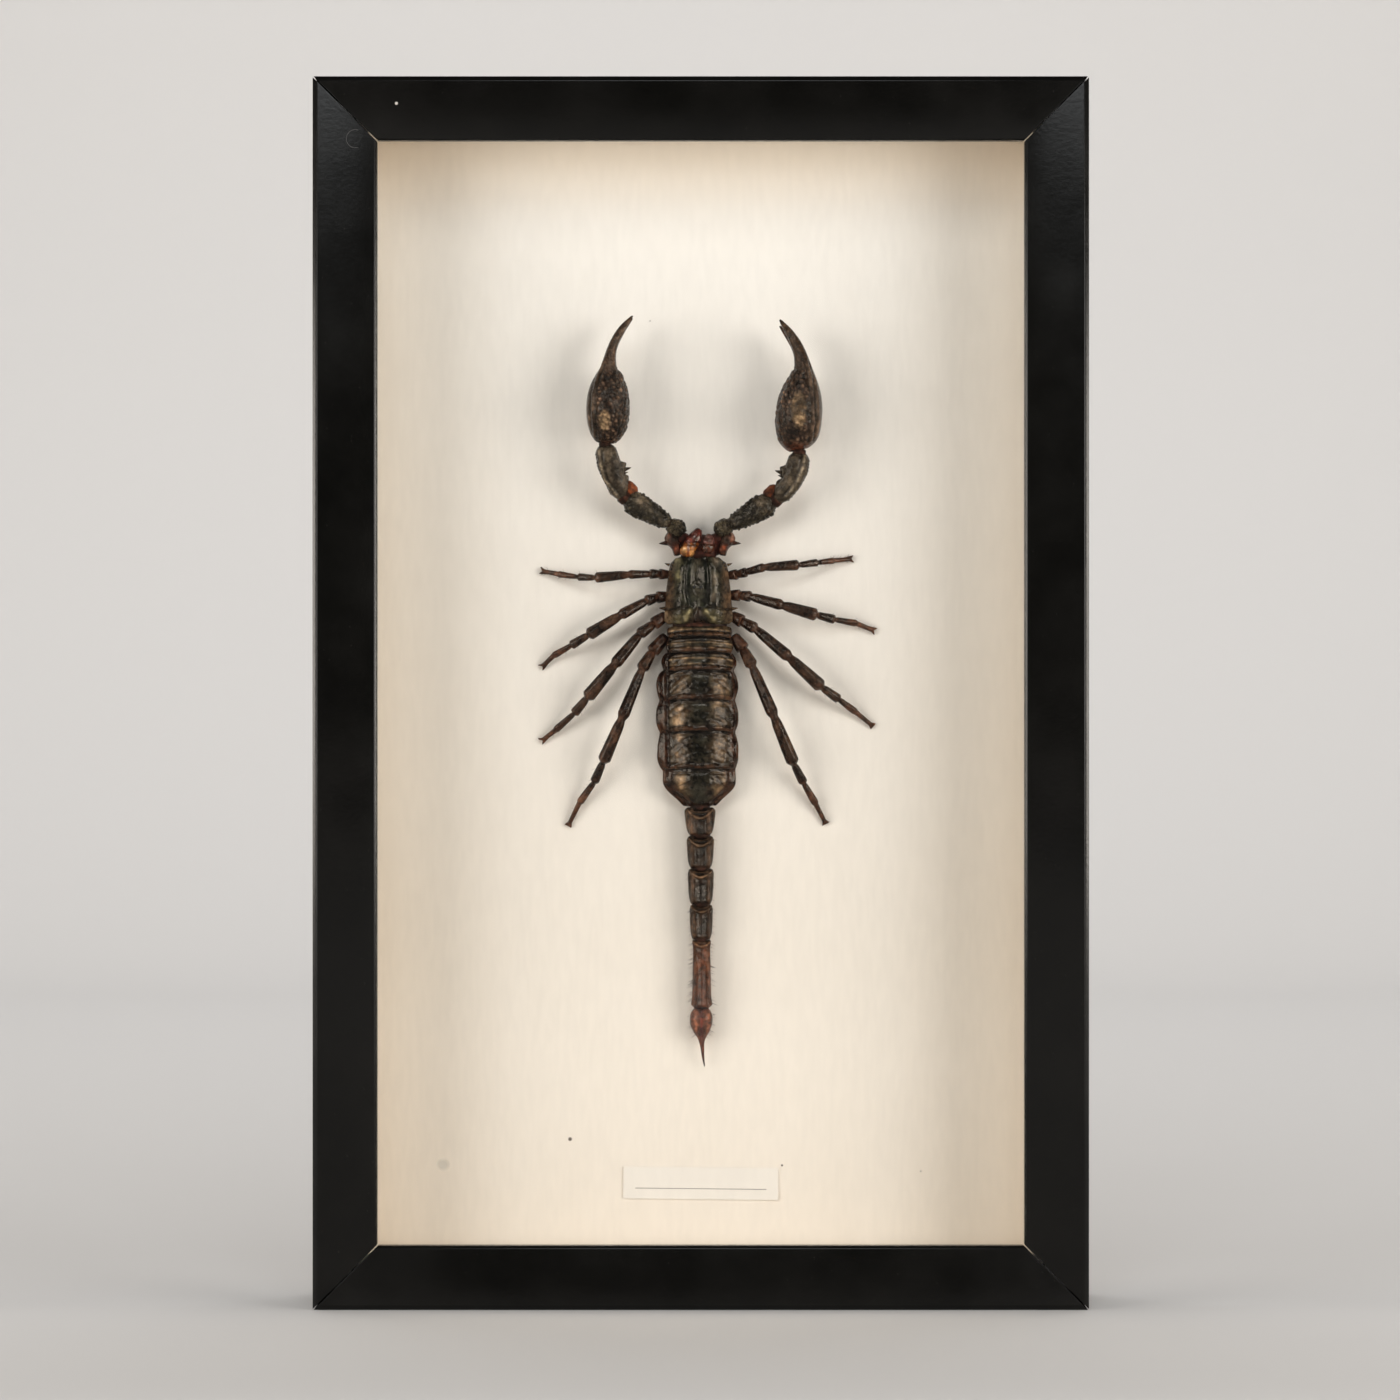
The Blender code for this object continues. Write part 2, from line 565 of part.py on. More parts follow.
def build_abdomen(parent):
    """Back plates over a softer skin that swells out between them, on a flat belly."""
    rings = []
    for along, crown, half, left, right in abdomen_stations():
        ring = []
        shoulder = crown - 2.5
        for i in range(9):
            u = -1 + i / 4
            ring.append(on_board(u * half, along, shoulder + 2.5 * (1 - abs(u) ** 2.6)))
        skin = UNDERSIDE if along > HIPS_END else SIDE_SKIN
        ring += [on_board(right * share, along, lift) for share, lift in skin]
        ring += [on_board(-left * share, along, lift) for share, lift in reversed(skin)]
        rings.append(ring)
    make_object("abdomen", loft(rings), "black_shell", parent, smooth_angle=50)


def build_tail(parent):
    """Keeled barrels, each with a narrow collar ahead of an arched rim, and the bulb with its sting."""
    for i, (start, end, front, rear, height, lift) in enumerate(TAIL_SEGMENTS):
        length = end - start
        stations = []
        for share, wide, high in BARREL if i < len(TAIL_SEGMENTS) - 1 else LAST_BARREL:
            half = (front + (rear - front) * share) * wide
            stations.append((0.1 * i, start + length * share, lift, half, height * high))
        material_name = "black_shell" if i < len(TAIL_SEGMENTS) - 1 else "brown_shell"
        shape = loft(limb_rings(stations, KEELED))
        make_object(f"tail_segment_{i + 1}", shape, material_name, parent, smooth_angle=50)
    make_object("telson", loft(limb_rings(TELSON, oval(12))), "red_shell", parent, smooth_angle=60)


def leg_stations(joints, halves):
    """Each joint of a leg starts narrow, swells and flares before the next one."""
    shares = ((0.03, 0.62), (0.18, 0.86), (0.6, 1.0), (0.93, 1.1))
    stations = []
    for i, half in enumerate(halves):
        start = Vector((*joints[i], LEG_LIFTS[i]))
        end = Vector((*joints[i + 1], LEG_LIFTS[i + 1]))
        for share, swell in shares:
            centre = start.lerp(end, share)
            width = half * swell
            if i == len(halves) - 1:
                width = half * (1.0 - 0.25 * share)
            stations.append((*centre, width, width * LEG_FLATNESS))
    return stations


def build_legs(parent):
    for name, joints in LEG_JOINTS.items():
        halves = LEG_HALF_WIDTHS[name[-1]]
        rings = limb_rings(leg_stations(joints, halves), oval(LEG_SIDES, 2.2))
        shape = loft(rings)
        tip = Vector((*joints[-1], LEG_LIFTS[-1]))
        course = (tip - Vector((*joints[-2], LEG_LIFTS[-2]))).normalized()
        side = Vector((-course.y, course.x, 0.0)).normalized()
        for way in (-1, 1):
            root = tip - course * 0.35 + side * (0.5 * way)
            point = tip + course * 0.5 + side * (0.75 * way)
            spike(shape, on_board(*root), on_board(*point), 0.08)
        make_object(name, shape, "brown_shell", parent, smooth_angle=60)


def build_claw(side, hand, finger, shortfall, parent):
    """A hand set on edge, its fixed finger nearer the glass and its movable finger nearer the board."""
    stations = []
    for (across, along, half), depth in zip(hand, HAND_HALF_DEPTHS):
        stations.append((across, along, HAND_LIFT, half, depth))
    for (across, along, half), depth, offset in zip(finger, FINGER_HALF_DEPTHS, FINGER_OFFSETS):
        stations.append((across, along, HAND_LIFT + offset, half, depth))
    rings = limb_rings(stations, oval(16, 2.3), upright=True)
    make_object(f"claw_hand_{side}", loft(rings), "claw_shell", parent, smooth_angle=60)
    stations = []
    for i, ((across, along, half), depth) in enumerate(zip(finger, FINGER_HALF_DEPTHS)):
        back = shortfall * i / (len(finger) - 1)
        lift = HAND_LIFT - FINGER_OFFSETS[i] + 0.25 * (1 - i / 5)
        stations.append((across, along - back + 2 * GAP * (i == 0), lift, half * 0.92, depth * 0.92))
    rings = limb_rings(stations, oval(10), upright=True)
    make_object(f"claw_finger_{side}", loft(rings), "claw_shell", parent, smooth_angle=60)


def build_arm(side, way, femur, patella, parent):
    shape = loft(limb_rings(femur, oval(12, 3.0)))
    make_object(f"arm_femur_{side}", shape, "claw_shell", parent, smooth_angle=50)
    shape = loft(limb_rings(patella, oval(12, 3.0)))
    for share, reach in ((2, 1.3), (3, 1.5)):
        across, along, lift, half = patella[share][:4]
        root = on_board(across - way * half, along, lift)
        tip = on_board(across - way * (half + reach * 0.75), along + 0.3, lift + 0.3)
        spike(shape, root, tip, 0.15)
    make_object(f"arm_patella_{side}", shape, "claw_shell", parent, smooth_angle=50)
    coxa = [(way * across, *rest) for across, *rest in ARM_COXA]
    shape = loft(limb_rings(coxa, oval(12, 2.6)))
    spike(shape, on_board(way * 7.6, 19.3, 4.8), on_board(way * 8.3, 19.6, 4.9), 0.2)
    make_object(f"arm_coxa_{side}", shape, "red_shell", parent, smooth_angle=50)
    trochanter = [(way * across, *rest) for across, *rest in ARM_TROCHANTER]
    shape = loft(limb_rings(trochanter, oval(12, 2.6)))
    make_object(f"arm_trochanter_{side}", shape, "claw_shell", parent, smooth_angle=50)


def build_chelicerae(parent):
    for side, stations in (("left", LEFT_JAW), ("right", RIGHT_JAW)):
        shape = loft(limb_rings(stations, oval(12, 2.6)))
        make_object(f"chelicera_{side}", shape, "red_shell", parent, smooth_angle=60)


def build_scene():
    clear_scene()
    frame = bpy.data.objects.new("box_frame", None)
    specimen = bpy.data.objects.new("specimen", None)
    for empty in (frame, specimen):
        bpy.context.scene.collection.objects.link(empty)
    specimen.parent = frame
    build_rails(frame)
    pane("glass_pane", GLASS_FRONT, GLASS_BACK, "clear_glass", frame)
    build_spacers(frame)
    pane("mount_board", BOARD_FRONT, BOARD_BACK, "cream_board", frame)
    build_name_slip(frame)
    pane("back_panel", PANEL_FRONT, PANEL_BACK, "brown_fibreboard", frame)
    build_tabs(frame)
    build_hanger(frame)
    build_carapace(specimen)
    build_chelicerae(specimen)
    build_abdomen(specimen)
    build_tail(specimen)
    build_legs(specimen)
    build_claw("left", LEFT_HAND, LEFT_FINGER, LEFT_SHORTFALL, specimen)
    build_claw("right", RIGHT_HAND, RIGHT_FINGER, RIGHT_SHORTFALL, specimen)
    build_arm("left", -1, LEFT_FEMUR, LEFT_PATELLA, specimen)
    build_arm("right", 1, RIGHT_FEMUR, RIGHT_PATELLA, specimen)


build_scene()
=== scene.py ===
# %% [markdown]
# # Dressing a framed scorpion
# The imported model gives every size: a black box frame, its glass, a cream board, a paper slip and a
# dried scorpion that is cut at its joints. It is exact but bare. This lesson gives it its finish.
# Each step says what the piece is on the real object, how it could be made, and why this way was taken.

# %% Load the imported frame
import math
import random

import bpy
import numpy as np
from mathutils import Matrix, Vector


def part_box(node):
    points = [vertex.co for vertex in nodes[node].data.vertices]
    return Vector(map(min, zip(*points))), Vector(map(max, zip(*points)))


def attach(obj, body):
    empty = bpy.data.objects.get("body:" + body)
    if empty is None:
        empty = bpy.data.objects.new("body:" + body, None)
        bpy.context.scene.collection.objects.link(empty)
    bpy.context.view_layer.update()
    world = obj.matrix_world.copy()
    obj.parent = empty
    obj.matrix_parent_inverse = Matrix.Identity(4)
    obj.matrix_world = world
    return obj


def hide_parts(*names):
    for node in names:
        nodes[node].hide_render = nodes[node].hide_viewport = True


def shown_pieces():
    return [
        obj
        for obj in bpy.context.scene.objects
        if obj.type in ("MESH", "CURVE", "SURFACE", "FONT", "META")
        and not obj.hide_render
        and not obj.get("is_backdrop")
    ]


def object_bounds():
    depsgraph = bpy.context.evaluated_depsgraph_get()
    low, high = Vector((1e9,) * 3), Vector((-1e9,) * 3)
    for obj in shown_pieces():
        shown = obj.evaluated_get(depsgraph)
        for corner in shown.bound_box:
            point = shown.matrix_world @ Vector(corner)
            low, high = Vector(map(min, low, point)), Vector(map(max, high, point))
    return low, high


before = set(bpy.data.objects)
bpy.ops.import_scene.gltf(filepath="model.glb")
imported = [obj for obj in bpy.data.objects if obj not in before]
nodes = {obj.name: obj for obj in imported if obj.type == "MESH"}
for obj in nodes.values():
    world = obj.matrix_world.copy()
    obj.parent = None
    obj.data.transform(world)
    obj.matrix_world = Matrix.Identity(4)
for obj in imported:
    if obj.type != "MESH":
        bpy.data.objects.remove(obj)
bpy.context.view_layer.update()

MM = 0.001

# %% [markdown]
# ## The specimen's own measures
# The scorpion is easier to think of in its own terms than in the frame's: across its body, along it
# towards the head, and lifted off the board. One small function turns those into the frame's metres,
# so that every thorn and hair below can be placed by numbers read off the real animal.

# %% Across, along and lift
SPECIMEN_X = -0.2
SPECIMEN_Z = 159.0
BOARD_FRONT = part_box("mount_board")[0].y / MM


def at(across, along, lift):
    """A place on the specimen, from millimetres of its own to the frame's metres."""
    return Vector((SPECIMEN_X + across, BOARD_FRONT - lift, SPECIMEN_Z + along)) * MM


def course(across, along, lift):
    """A direction in the specimen's measures."""
    return Vector((across, -lift, along)).normalized()


print("the board's face lies at y =", round(BOARD_FRONT, 2), "mm")

# %% [markdown]
# ## Selecting, merging and settling
# An operator works on all that is selected, and the freshly loaded nodes are. So every step starts by
# leaving one piece selected.

# %% Helpers for picking


def close():
    """Ends the editing of a mesh."""
    bpy.ops.object.mode_set(mode="OBJECT")


def pick(*pieces):
    """Leaves only these pieces selected, the first one active, or nothing selected if none are given."""
    if bpy.context.mode != "OBJECT":
        close()
    bpy.ops.object.select_all(action="DESELECT")
    for piece in pieces:
        piece.select_set(True)
    if pieces:
        bpy.context.view_layer.objects.active = pieces[0]


def open_whole(piece):
    """Opens a piece for editing with all of it selected."""
    pick(piece)
    bpy.ops.object.mode_set(mode="EDIT")
    bpy.ops.mesh.select_all(action="SELECT")


def settle(piece, name=None):
    """Puts a piece's place, turn and size into its mesh, so that its object sits at the origin."""
    pick(piece)
    bpy.ops.object.transform_apply(location=True, rotation=True, scale=True)
    if name:
        piece.name = name
        piece.data.name = name
    return piece


def finish_with(piece, kind, **settings):
    """Adds a modifier with these settings and applies it."""
    pick(piece)
    modifier = piece.modifiers.new(kind.lower(), kind)
    for key, value in settings.items():
        setattr(modifier, key, value)
    bpy.ops.object.modifier_apply(modifier=modifier.name)
    return piece


print("helpers for picking are ready")

# %% [markdown]
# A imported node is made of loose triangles. A copy of it is merged and its triangles are paired into
# quads, and then it can be subdivided and sculpted like any hand-made mesh.

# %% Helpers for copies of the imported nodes


def merged_copy(node, name):
    """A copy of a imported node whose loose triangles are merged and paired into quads."""
    piece = bpy.data.objects.new(name, nodes[node].data.copy())
    piece.data.name = name
    piece.data.materials.clear()
    bpy.context.scene.collection.objects.link(piece)
    open_whole(piece)
    bpy.ops.mesh.remove_doubles(threshold=0.002 * MM)
    bpy.ops.mesh.tris_convert_to_quads(face_threshold=math.pi, shape_threshold=math.pi)
    close()
    bpy.ops.mesh.customdata_custom_splitnormals_clear()
    bpy.ops.object.shade_smooth()
    return piece


def rounded_copy(node, name, levels):
    """A merged copy, subdivided until its facets are gone, for swelling forms."""
    piece = merged_copy(node, name)
    return finish_with(piece, "SUBSURF", levels=levels, render_levels=levels)


def softened_copy(node, name, levels, passes):
    """A merged copy divided without rounding, then smoothed, for forms that keep their edges."""
    piece = merged_copy(node, name)
    finish_with(piece, "SUBSURF", levels=levels, render_levels=levels, subdivision_type="SIMPLE")
    return finish_with(piece, "SMOOTH", factor=0.5, iterations=passes)


def bevelled_copy(node, name, width, crease):
    """A merged copy whose flat faces are made whole and whose edges are rounded, for worked parts."""
    piece = merged_copy(node, name)
    open_whole(piece)
    bpy.ops.mesh.dissolve_limited(angle_limit=math.radians(1))
    close()
    finish_with(piece, "BEVEL", width=width * MM, segments=2, limit_method="ANGLE")
    bpy.ops.object.shade_smooth_by_angle(angle=math.radians(crease))
    return piece


print("helpers for copies are ready")

# %% [markdown]
# Faces, edges or points are marked by a test of where they lie, and a finished piece is handed over.

# %% Helpers for marking, pulling and handing over


def mark(piece, mode, test):
    """Opens the piece for editing with only the faces, edges or points that pass a test selected."""
    pick(piece)
    bpy.ops.object.mode_set(mode="EDIT")
    bpy.ops.mesh.select_mode(type=mode)
    bpy.ops.mesh.select_all(action="DESELECT")
    close()
    mesh = piece.data
    if mode == "FACE":
        for face in mesh.polygons:
            face.select = test(face.center, face.normal)
    elif mode == "EDGE":
        for edge in mesh.edges:
            edge.select = test(*(mesh.vertices[i].co for i in edge.vertices))
    else:
        for point in mesh.vertices:
            point.select = test(point.co)
    bpy.ops.object.mode_set(mode="EDIT")


def pull(piece, test, reach, shift=None, scale=None, about=None):
    """Shifts or scales the points that pass a test, in millimetres, with what surrounds them."""
    mark(piece, "VERT", test)
    soft = {"use_proportional_edit": True, "proportional_edit_falloff": "SMOOTH"}
    soft["proportional_size"] = reach * MM
    if shift:
        bpy.ops.transform.translate(value=tuple(v * MM for v in shift), **soft)
    else:
        bpy.ops.transform.resize(value=scale, center_override=about, **soft)
    close()


def dress_node(node, finish):
    """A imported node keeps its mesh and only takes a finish."""
    nodes[node].data.materials.clear()
    nodes[node].data.materials.append(finish.material)


def hand_over(piece, slot, finish, *stands_for):
    """The piece rides with the object, takes its finish, and stands for the nodes it was made from."""
    if not piece.data.materials:
        piece.data.materials.append(finish)
    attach(piece, "root")
    if stands_for:
        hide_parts(*stands_for)
    print(piece.name, "has", len(piece.data.polygons), "faces")
    return piece


print("helpers for marking are ready")

# %% [markdown]
# ## Camera
# The photograph looks straight at the frame from about 1.4 m, a little below its middle, with a long
# lens. With the camera square to the glass, the near front of the frame and the board behind it shrink
# by slightly different amounts, as they do in the photograph.

# %% The photographer's place
CAMERA_DISTANCE = 1.362
SEEN_WIDTH = 0.32424
FRAME_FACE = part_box("frame_rail_bottom")[0].y

camera_data = bpy.data.cameras.new("camera")
camera = bpy.data.objects.new("camera", camera_data)
bpy.context.scene.collection.objects.link(camera)
camera.location = (-0.00019, FRAME_FACE - CAMERA_DISTANCE, 0.1414)
camera.rotation_euler = (math.radians(90), 0.0, 0.0)
camera_data.sensor_width = 36.0
camera_data.lens = 36.0 * CAMERA_DISTANCE / SEEN_WIDTH
bpy.context.scene.camera = camera
print("lens", round(camera_data.lens, 1), "mm")

# %% [markdown]
# ## Floor
# The frame stands on a plain pale floor that curves up into a backdrop, so no horizon line crosses the
# picture. A plane is drawn out at its back edge, and the fold is bevelled into a sweep. The fold lies
# farther off than the camera stands, so that the frame can also be seen from behind.

# %% The pale sweep behind the frame
FLOOR_BACK = 1.9
pick()
bpy.ops.mesh.primitive_plane_add(size=6.0, location=(0.0, -1.0, 0.0))
sweep = settle(bpy.context.object, "floor_sweep")
mark(sweep, "EDGE", lambda a, b: min(a.y, b.y) > FLOOR_BACK)
bpy.ops.mesh.extrude_region_move(TRANSFORM_OT_translate={"value": (0.0, 0.0, 3.0)})
mark(sweep, "EDGE", lambda a, b: min(a.y, b.y) > FLOOR_BACK and max(a.z, b.z) < 0.1)
bpy.ops.mesh.bevel(offset=0.55, segments=16, affect="EDGES")
close()
bpy.ops.object.shade_smooth()
chalk = bpy.data.materials.new("pale_floor")
chalk.use_nodes = True
chalk_shader = chalk.node_tree.nodes["Principled BSDF"].inputs
chalk_shader["Base Color"].default_value = (0.62, 0.61, 0.6, 1.0)
chalk_shader["Roughness"].default_value = 0.9
sweep.data.materials.append(chalk)
sweep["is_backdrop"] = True
print("floor sweep has", len(sweep.data.polygons), "faces")

# %% [markdown]
# ## Light
# The shadows on the real board tell where its lamps stood. A band along the left rail and one along the
# right are each about a third darker and soften out 16 to 40 mm from the lip, so a broad soft lamp stood
# on either side at about 45 degrees. A thinner band under the top rail asks for a third above the
# camera. Two slim strips out to the sides draw the bright lines along the frame's outer edges.

# %% Soft lamps


def softbox(name, place, aim, size, watts, colour):
    """A rectangular area lamp that faces a point."""
    lamp = bpy.data.lights.new(name, "AREA")
    lamp.shape = "RECTANGLE"
    lamp.size, lamp.size_y = size
    lamp.energy = watts
    lamp.color = colour
    holder = bpy.data.objects.new(name, lamp)
    bpy.context.scene.collection.objects.link(holder)
    holder.location = place
    holder.rotation_euler = (Vector(aim) - Vector(place)).to_track_quat("-Z", "Y").to_euler()


MIDDLE = (0.0, 0.0, 0.143)
for side, name, watts in ((-1, "lamp_left", 11.6), (1, "lamp_right", 14.1)):
    softbox(name, (side * 0.96, -0.86, 0.2), MIDDLE, (0.8, 0.7), watts, (1.0, 0.962, 0.925))
softbox("lamp_above", (0.0, -1.35, 1.05), MIDDLE, (0.6, 0.5), 6.2, (0.95, 0.98, 1.0))
for side in (-1, 1):
    softbox("lamp_edge", (side * 1.3, -0.05, 0.143), MIDDLE, (0.4, 0.7), 14.0, (1.0, 0.93, 0.84))
softbox("lamp_sweep", (0.0, 0.95, 1.7), (0.0, 1.9, 0.2), (2.4, 0.8), 26.0, (1.0, 0.99, 0.98))

world = bpy.data.worlds.new("studio")
bpy.context.scene.world = world
world.use_nodes = True
sky = world.node_tree.nodes["Background"].inputs
sky["Color"].default_value = (0.95, 0.97, 1.0, 1.0)
sky["Strength"].default_value = 0.035
bpy.context.scene.view_settings.view_transform = "Standard"

# %% [markdown]
# ## Small words for materials
# Every finish below is a node tree on Object coordinates, so its pattern keeps its real size on any
# piece. A few helpers keep the trees short: a noise that can be stretched, a ramp that turns a number
# into a colour, a blend of two colours, and a bump.

# %% Helpers for node trees


class Finish:
    """A material with its tree, and short ways to add the nodes that the finishes share."""

    def __init__(self, name):
        self.material = bpy.data.materials.new(name)
        self.material.use_nodes = True
        self.tree = self.material.node_tree
        self.shader = self.tree.nodes["Principled BSDF"]
        self.place = self.add("TexCoord").outputs["Object"]

    def add(self, kind, **inputs):
        node = self.tree.nodes.new("ShaderNode" + kind)
        for key, value in inputs.items():
            node.inputs[key].default_value = value
        return node

    def link(self, source, target):
        self.tree.links.new(source, target)

    def stretched(self, stretch):
        mapping = self.add("Mapping", Scale=stretch)
        self.link(self.place, mapping.inputs["Vector"])
        return mapping.outputs["Vector"]

    def noise(self, scale, detail=4.0, stretch=(1, 1, 1), roughness=0.55):
        node = self.add("TexNoise", Scale=scale, Detail=detail, Roughness=roughness)
        self.link(self.stretched(stretch), node.inputs["Vector"])
        return node.outputs["Fac"]

    def cells(self, scale, output="Distance"):
        node = self.add("TexVoronoi", Scale=scale)
        self.link(self.place, node.inputs["Vector"])
        return node.outputs[output]

    def axes(self):
        """Sockets for the X, Y and Z of the place on the object."""
        node = self.add("SeparateXYZ")
        self.link(self.place, node.inputs["Vector"])
        return node.outputs

    def ramp(self, source, *stops):
        node = self.add("ValToRGB")
        elements = node.color_ramp.elements
        while len(elements) < len(stops):
            elements.new(0.5)
        for element, (place, value) in zip(elements, stops):
            element.position = place
            level = value if isinstance(value, tuple) else (value, value, value)
            element.color = (*level, 1.0)
        self.link(source, node.inputs["Fac"])
        return node.outputs["Color"]

    def blend(self, kind, share, first, second):
        node = self.add("Mix")
        node.data_type = "RGBA"
        node.blend_type = kind
        factor, a, b = node.inputs[0], node.inputs[6], node.inputs[7]
        for value, socket in ((share, factor), (first, a), (second, b)):
            if hasattr(value, "links"):
                self.link(value, socket)
            elif socket is factor:
                socket.default_value = value
            else:
                socket.default_value = (*value, 1.0)
        return node.outputs[2]

    def sum(self, kind, *values):
        """One step of arithmetic on numbers or on other nodes' outputs."""
        node = self.add("Math")
        node.operation = kind
        for value, socket in zip(values, node.inputs):
            if hasattr(value, "links"):
                self.link(value, socket)
            else:
                socket.default_value = value
        return node.outputs[0]

    def bump(self, height, depth, under=None):
        """Relief of a depth in millimetres, over another relief if one is given."""
        node = self.add("Bump", Strength=1.0, Distance=depth * MM)
        self.link(height, node.inputs["Height"])
        if under:
            self.link(under, node.inputs["Normal"])
        return node.outputs["Normal"]

    def distance(self, place):
        node = self.add("VectorMath")
        node.operation = "DISTANCE"
        self.link(self.place, node.inputs[0])
        node.inputs[1].default_value = place
        return node.outputs["Value"]

    def spot(self, place, radius):
        """1 within a radius in millimetres round a place, 0 outside."""
        fade = self.add("MapRange")
        self.link(self.distance(place), fade.inputs["Value"])
        fade.inputs["From Min"].default_value = radius * MM
        fade.inputs["From Max"].default_value = radius * MM * 0.6
        return fade.outputs["Result"]

    def set(self, **sockets):
        names = {"base": "Base Color", "rough": "Roughness", "normal": "Normal", "metal": "Metallic"}
        for key, value in sockets.items():
            socket = self.shader.inputs[names.get(key, key)]
            if hasattr(value, "links"):
                self.link(value, socket)
            else:
                socket.default_value = value
        return self.material


print("helpers for finishes are ready")

# %% [markdown]
# ## Black lacquer
# The moulding is smooth and almost black, with the faint orange peel of sprayed lacquer and a little
# fine dust. The colour hardly varies; what the eye reads is the gloss, so most of the nodes go into
# roughness and a very shallow bump.

# %% Lacquer for the rails
lacquer = Finish("frame_lacquer")
peel = lacquer.noise(900, 3)
haze = lacquer.noise(60, 5)
dust = lacquer.ramp(lacquer.cells(420), (0.02, 1.0), (0.05, 0.0))
black = lacquer.ramp(haze, (0.3, (0.0025, 0.0024, 0.002)), (0.7, (0.0045, 0.0042, 0.0035)))
faint_dust = lacquer.blend("MULTIPLY", 1.0, dust, (0.25, 0.25, 0.25))
black = lacquer.blend("MIX", faint_dust, black, (0.1, 0.09, 0.08))
lacquer.set(
    base=black,
    rough=lacquer.ramp(haze, (0.3, 0.17), (0.7, 0.25)),
    normal=lacquer.bump(peel, 0.02),
)
lacquer.shader.inputs["Specular IOR Level"].default_value = 0.2
print("lacquer has", len(lacquer.tree.nodes), "nodes")

# %% [markdown]
# ## The four rails
# A real rail has no knife-sharp edge: the lacquer rounds each arris by a fraction of a millimetre, and
# that sliver is what catches the side lamps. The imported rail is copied, its flat faces are made whole
# again, and a small bevel rounds the edges. The profile and the mitres stay as they are.

# %% Round the rails' edges
for side in ("top", "bottom", "left", "right"):
    rail = bevelled_copy(f"frame_rail_{side}", f"rail_{side}", 0.18, 30)
    hand_over(rail, "frame_lacquer", lacquer.material, f"frame_rail_{side}")

# %% [markdown]
# Two small flaws show near the top of the left rail: a pale fleck, and the curl of a fine hair that was
# caught in the lacquer. Neither stands proud of the face, so both are drawn in the lacquer's own colour:
# the fleck as a spot, the hair as half of a thin ring.

# %% A fleck and a caught hair
CURL_RADIUS = 0.0021
CURL_THICKNESS = 0.00007
CURL_END_X = -0.0794
fleck = lacquer.spot((-0.0705, FRAME_FACE, 0.2796), 0.42)
curl = lacquer.distance((-0.0800, FRAME_FACE, 0.2714))
thin = lacquer.sum("ABSOLUTE", lacquer.sum("SUBTRACT", curl, CURL_RADIUS))
thin = lacquer.sum("LESS_THAN", thin, CURL_THICKNESS)
half = lacquer.sum("LESS_THAN", lacquer.axes()["X"], CURL_END_X)
marked = lacquer.blend("MIX", lacquer.sum("MULTIPLY", thin, half), black, (0.045, 0.042, 0.04))
marked = lacquer.blend("MIX", fleck, marked, (0.5, 0.47, 0.43))
lacquer.set(base=marked)
print("flaws drawn in the lacquer")

# %% [markdown]
# ## Glass
# The pane has to be there in every view and yet hide nothing. A clear shader lets the picture through,
# and a mirror is mixed in, faint head-on and bright at a slant. A Fresnel node would do that for the face
# that light enters, but it turns the other face into a full mirror beyond 45 degrees, because nothing
# bends the ray here, and the pane looks black from above. So Schlick's fifth power is used, which treats
# both faces alike. One small smudge, low on the left, keeps it from looking like a hole. Every shadow
# ray crosses the pane twice, so its shader is kept short.

# %% A clear pane with a smudge
HEAD_ON_MIRROR = 0.028
SMUDGE_PLACE = (-0.0598, -0.0162, 0.0335)
pane = Finish("pane_glass")
pane.tree.nodes.remove(pane.shader)
clear = pane.add("BsdfTransparent", Color=(0.985, 0.99, 0.985, 1.0))
mirror = pane.add("BsdfGlossy", Color=(1.0, 1.0, 1.0, 1.0), Roughness=0.04)
film = pane.add("BsdfDiffuse", Color=(0.26, 0.26, 0.23, 1.0))
slant = pane.add("LayerWeight", Blend=0.5).outputs["Facing"]
shine = pane.add("MixShader")
mirrored = pane.sum("MULTIPLY_ADD", pane.sum("POWER", slant, 5.0), 0.97, HEAD_ON_MIRROR)
pane.link(mirrored, shine.inputs["Fac"])
pane.link(clear.outputs["BSDF"], shine.inputs[1])
pane.link(mirror.outputs["BSDF"], shine.inputs[2])
dirt = pane.blend("MULTIPLY", 1.0, pane.spot(SMUDGE_PLACE, 1.6), (0.3, 0.3, 0.3))
dirty = pane.add("MixShader")
pane.link(dirt, dirty.inputs["Fac"])
pane.link(shine.outputs["Shader"], dirty.inputs[1])
pane.link(film.outputs["BSDF"], dirty.inputs[2])
pane.link(dirty.outputs["Shader"], pane.tree.nodes["Material Output"].inputs["Surface"])
dress_node("glass_pane", pane)
print("glass has", len(pane.tree.nodes), "nodes")
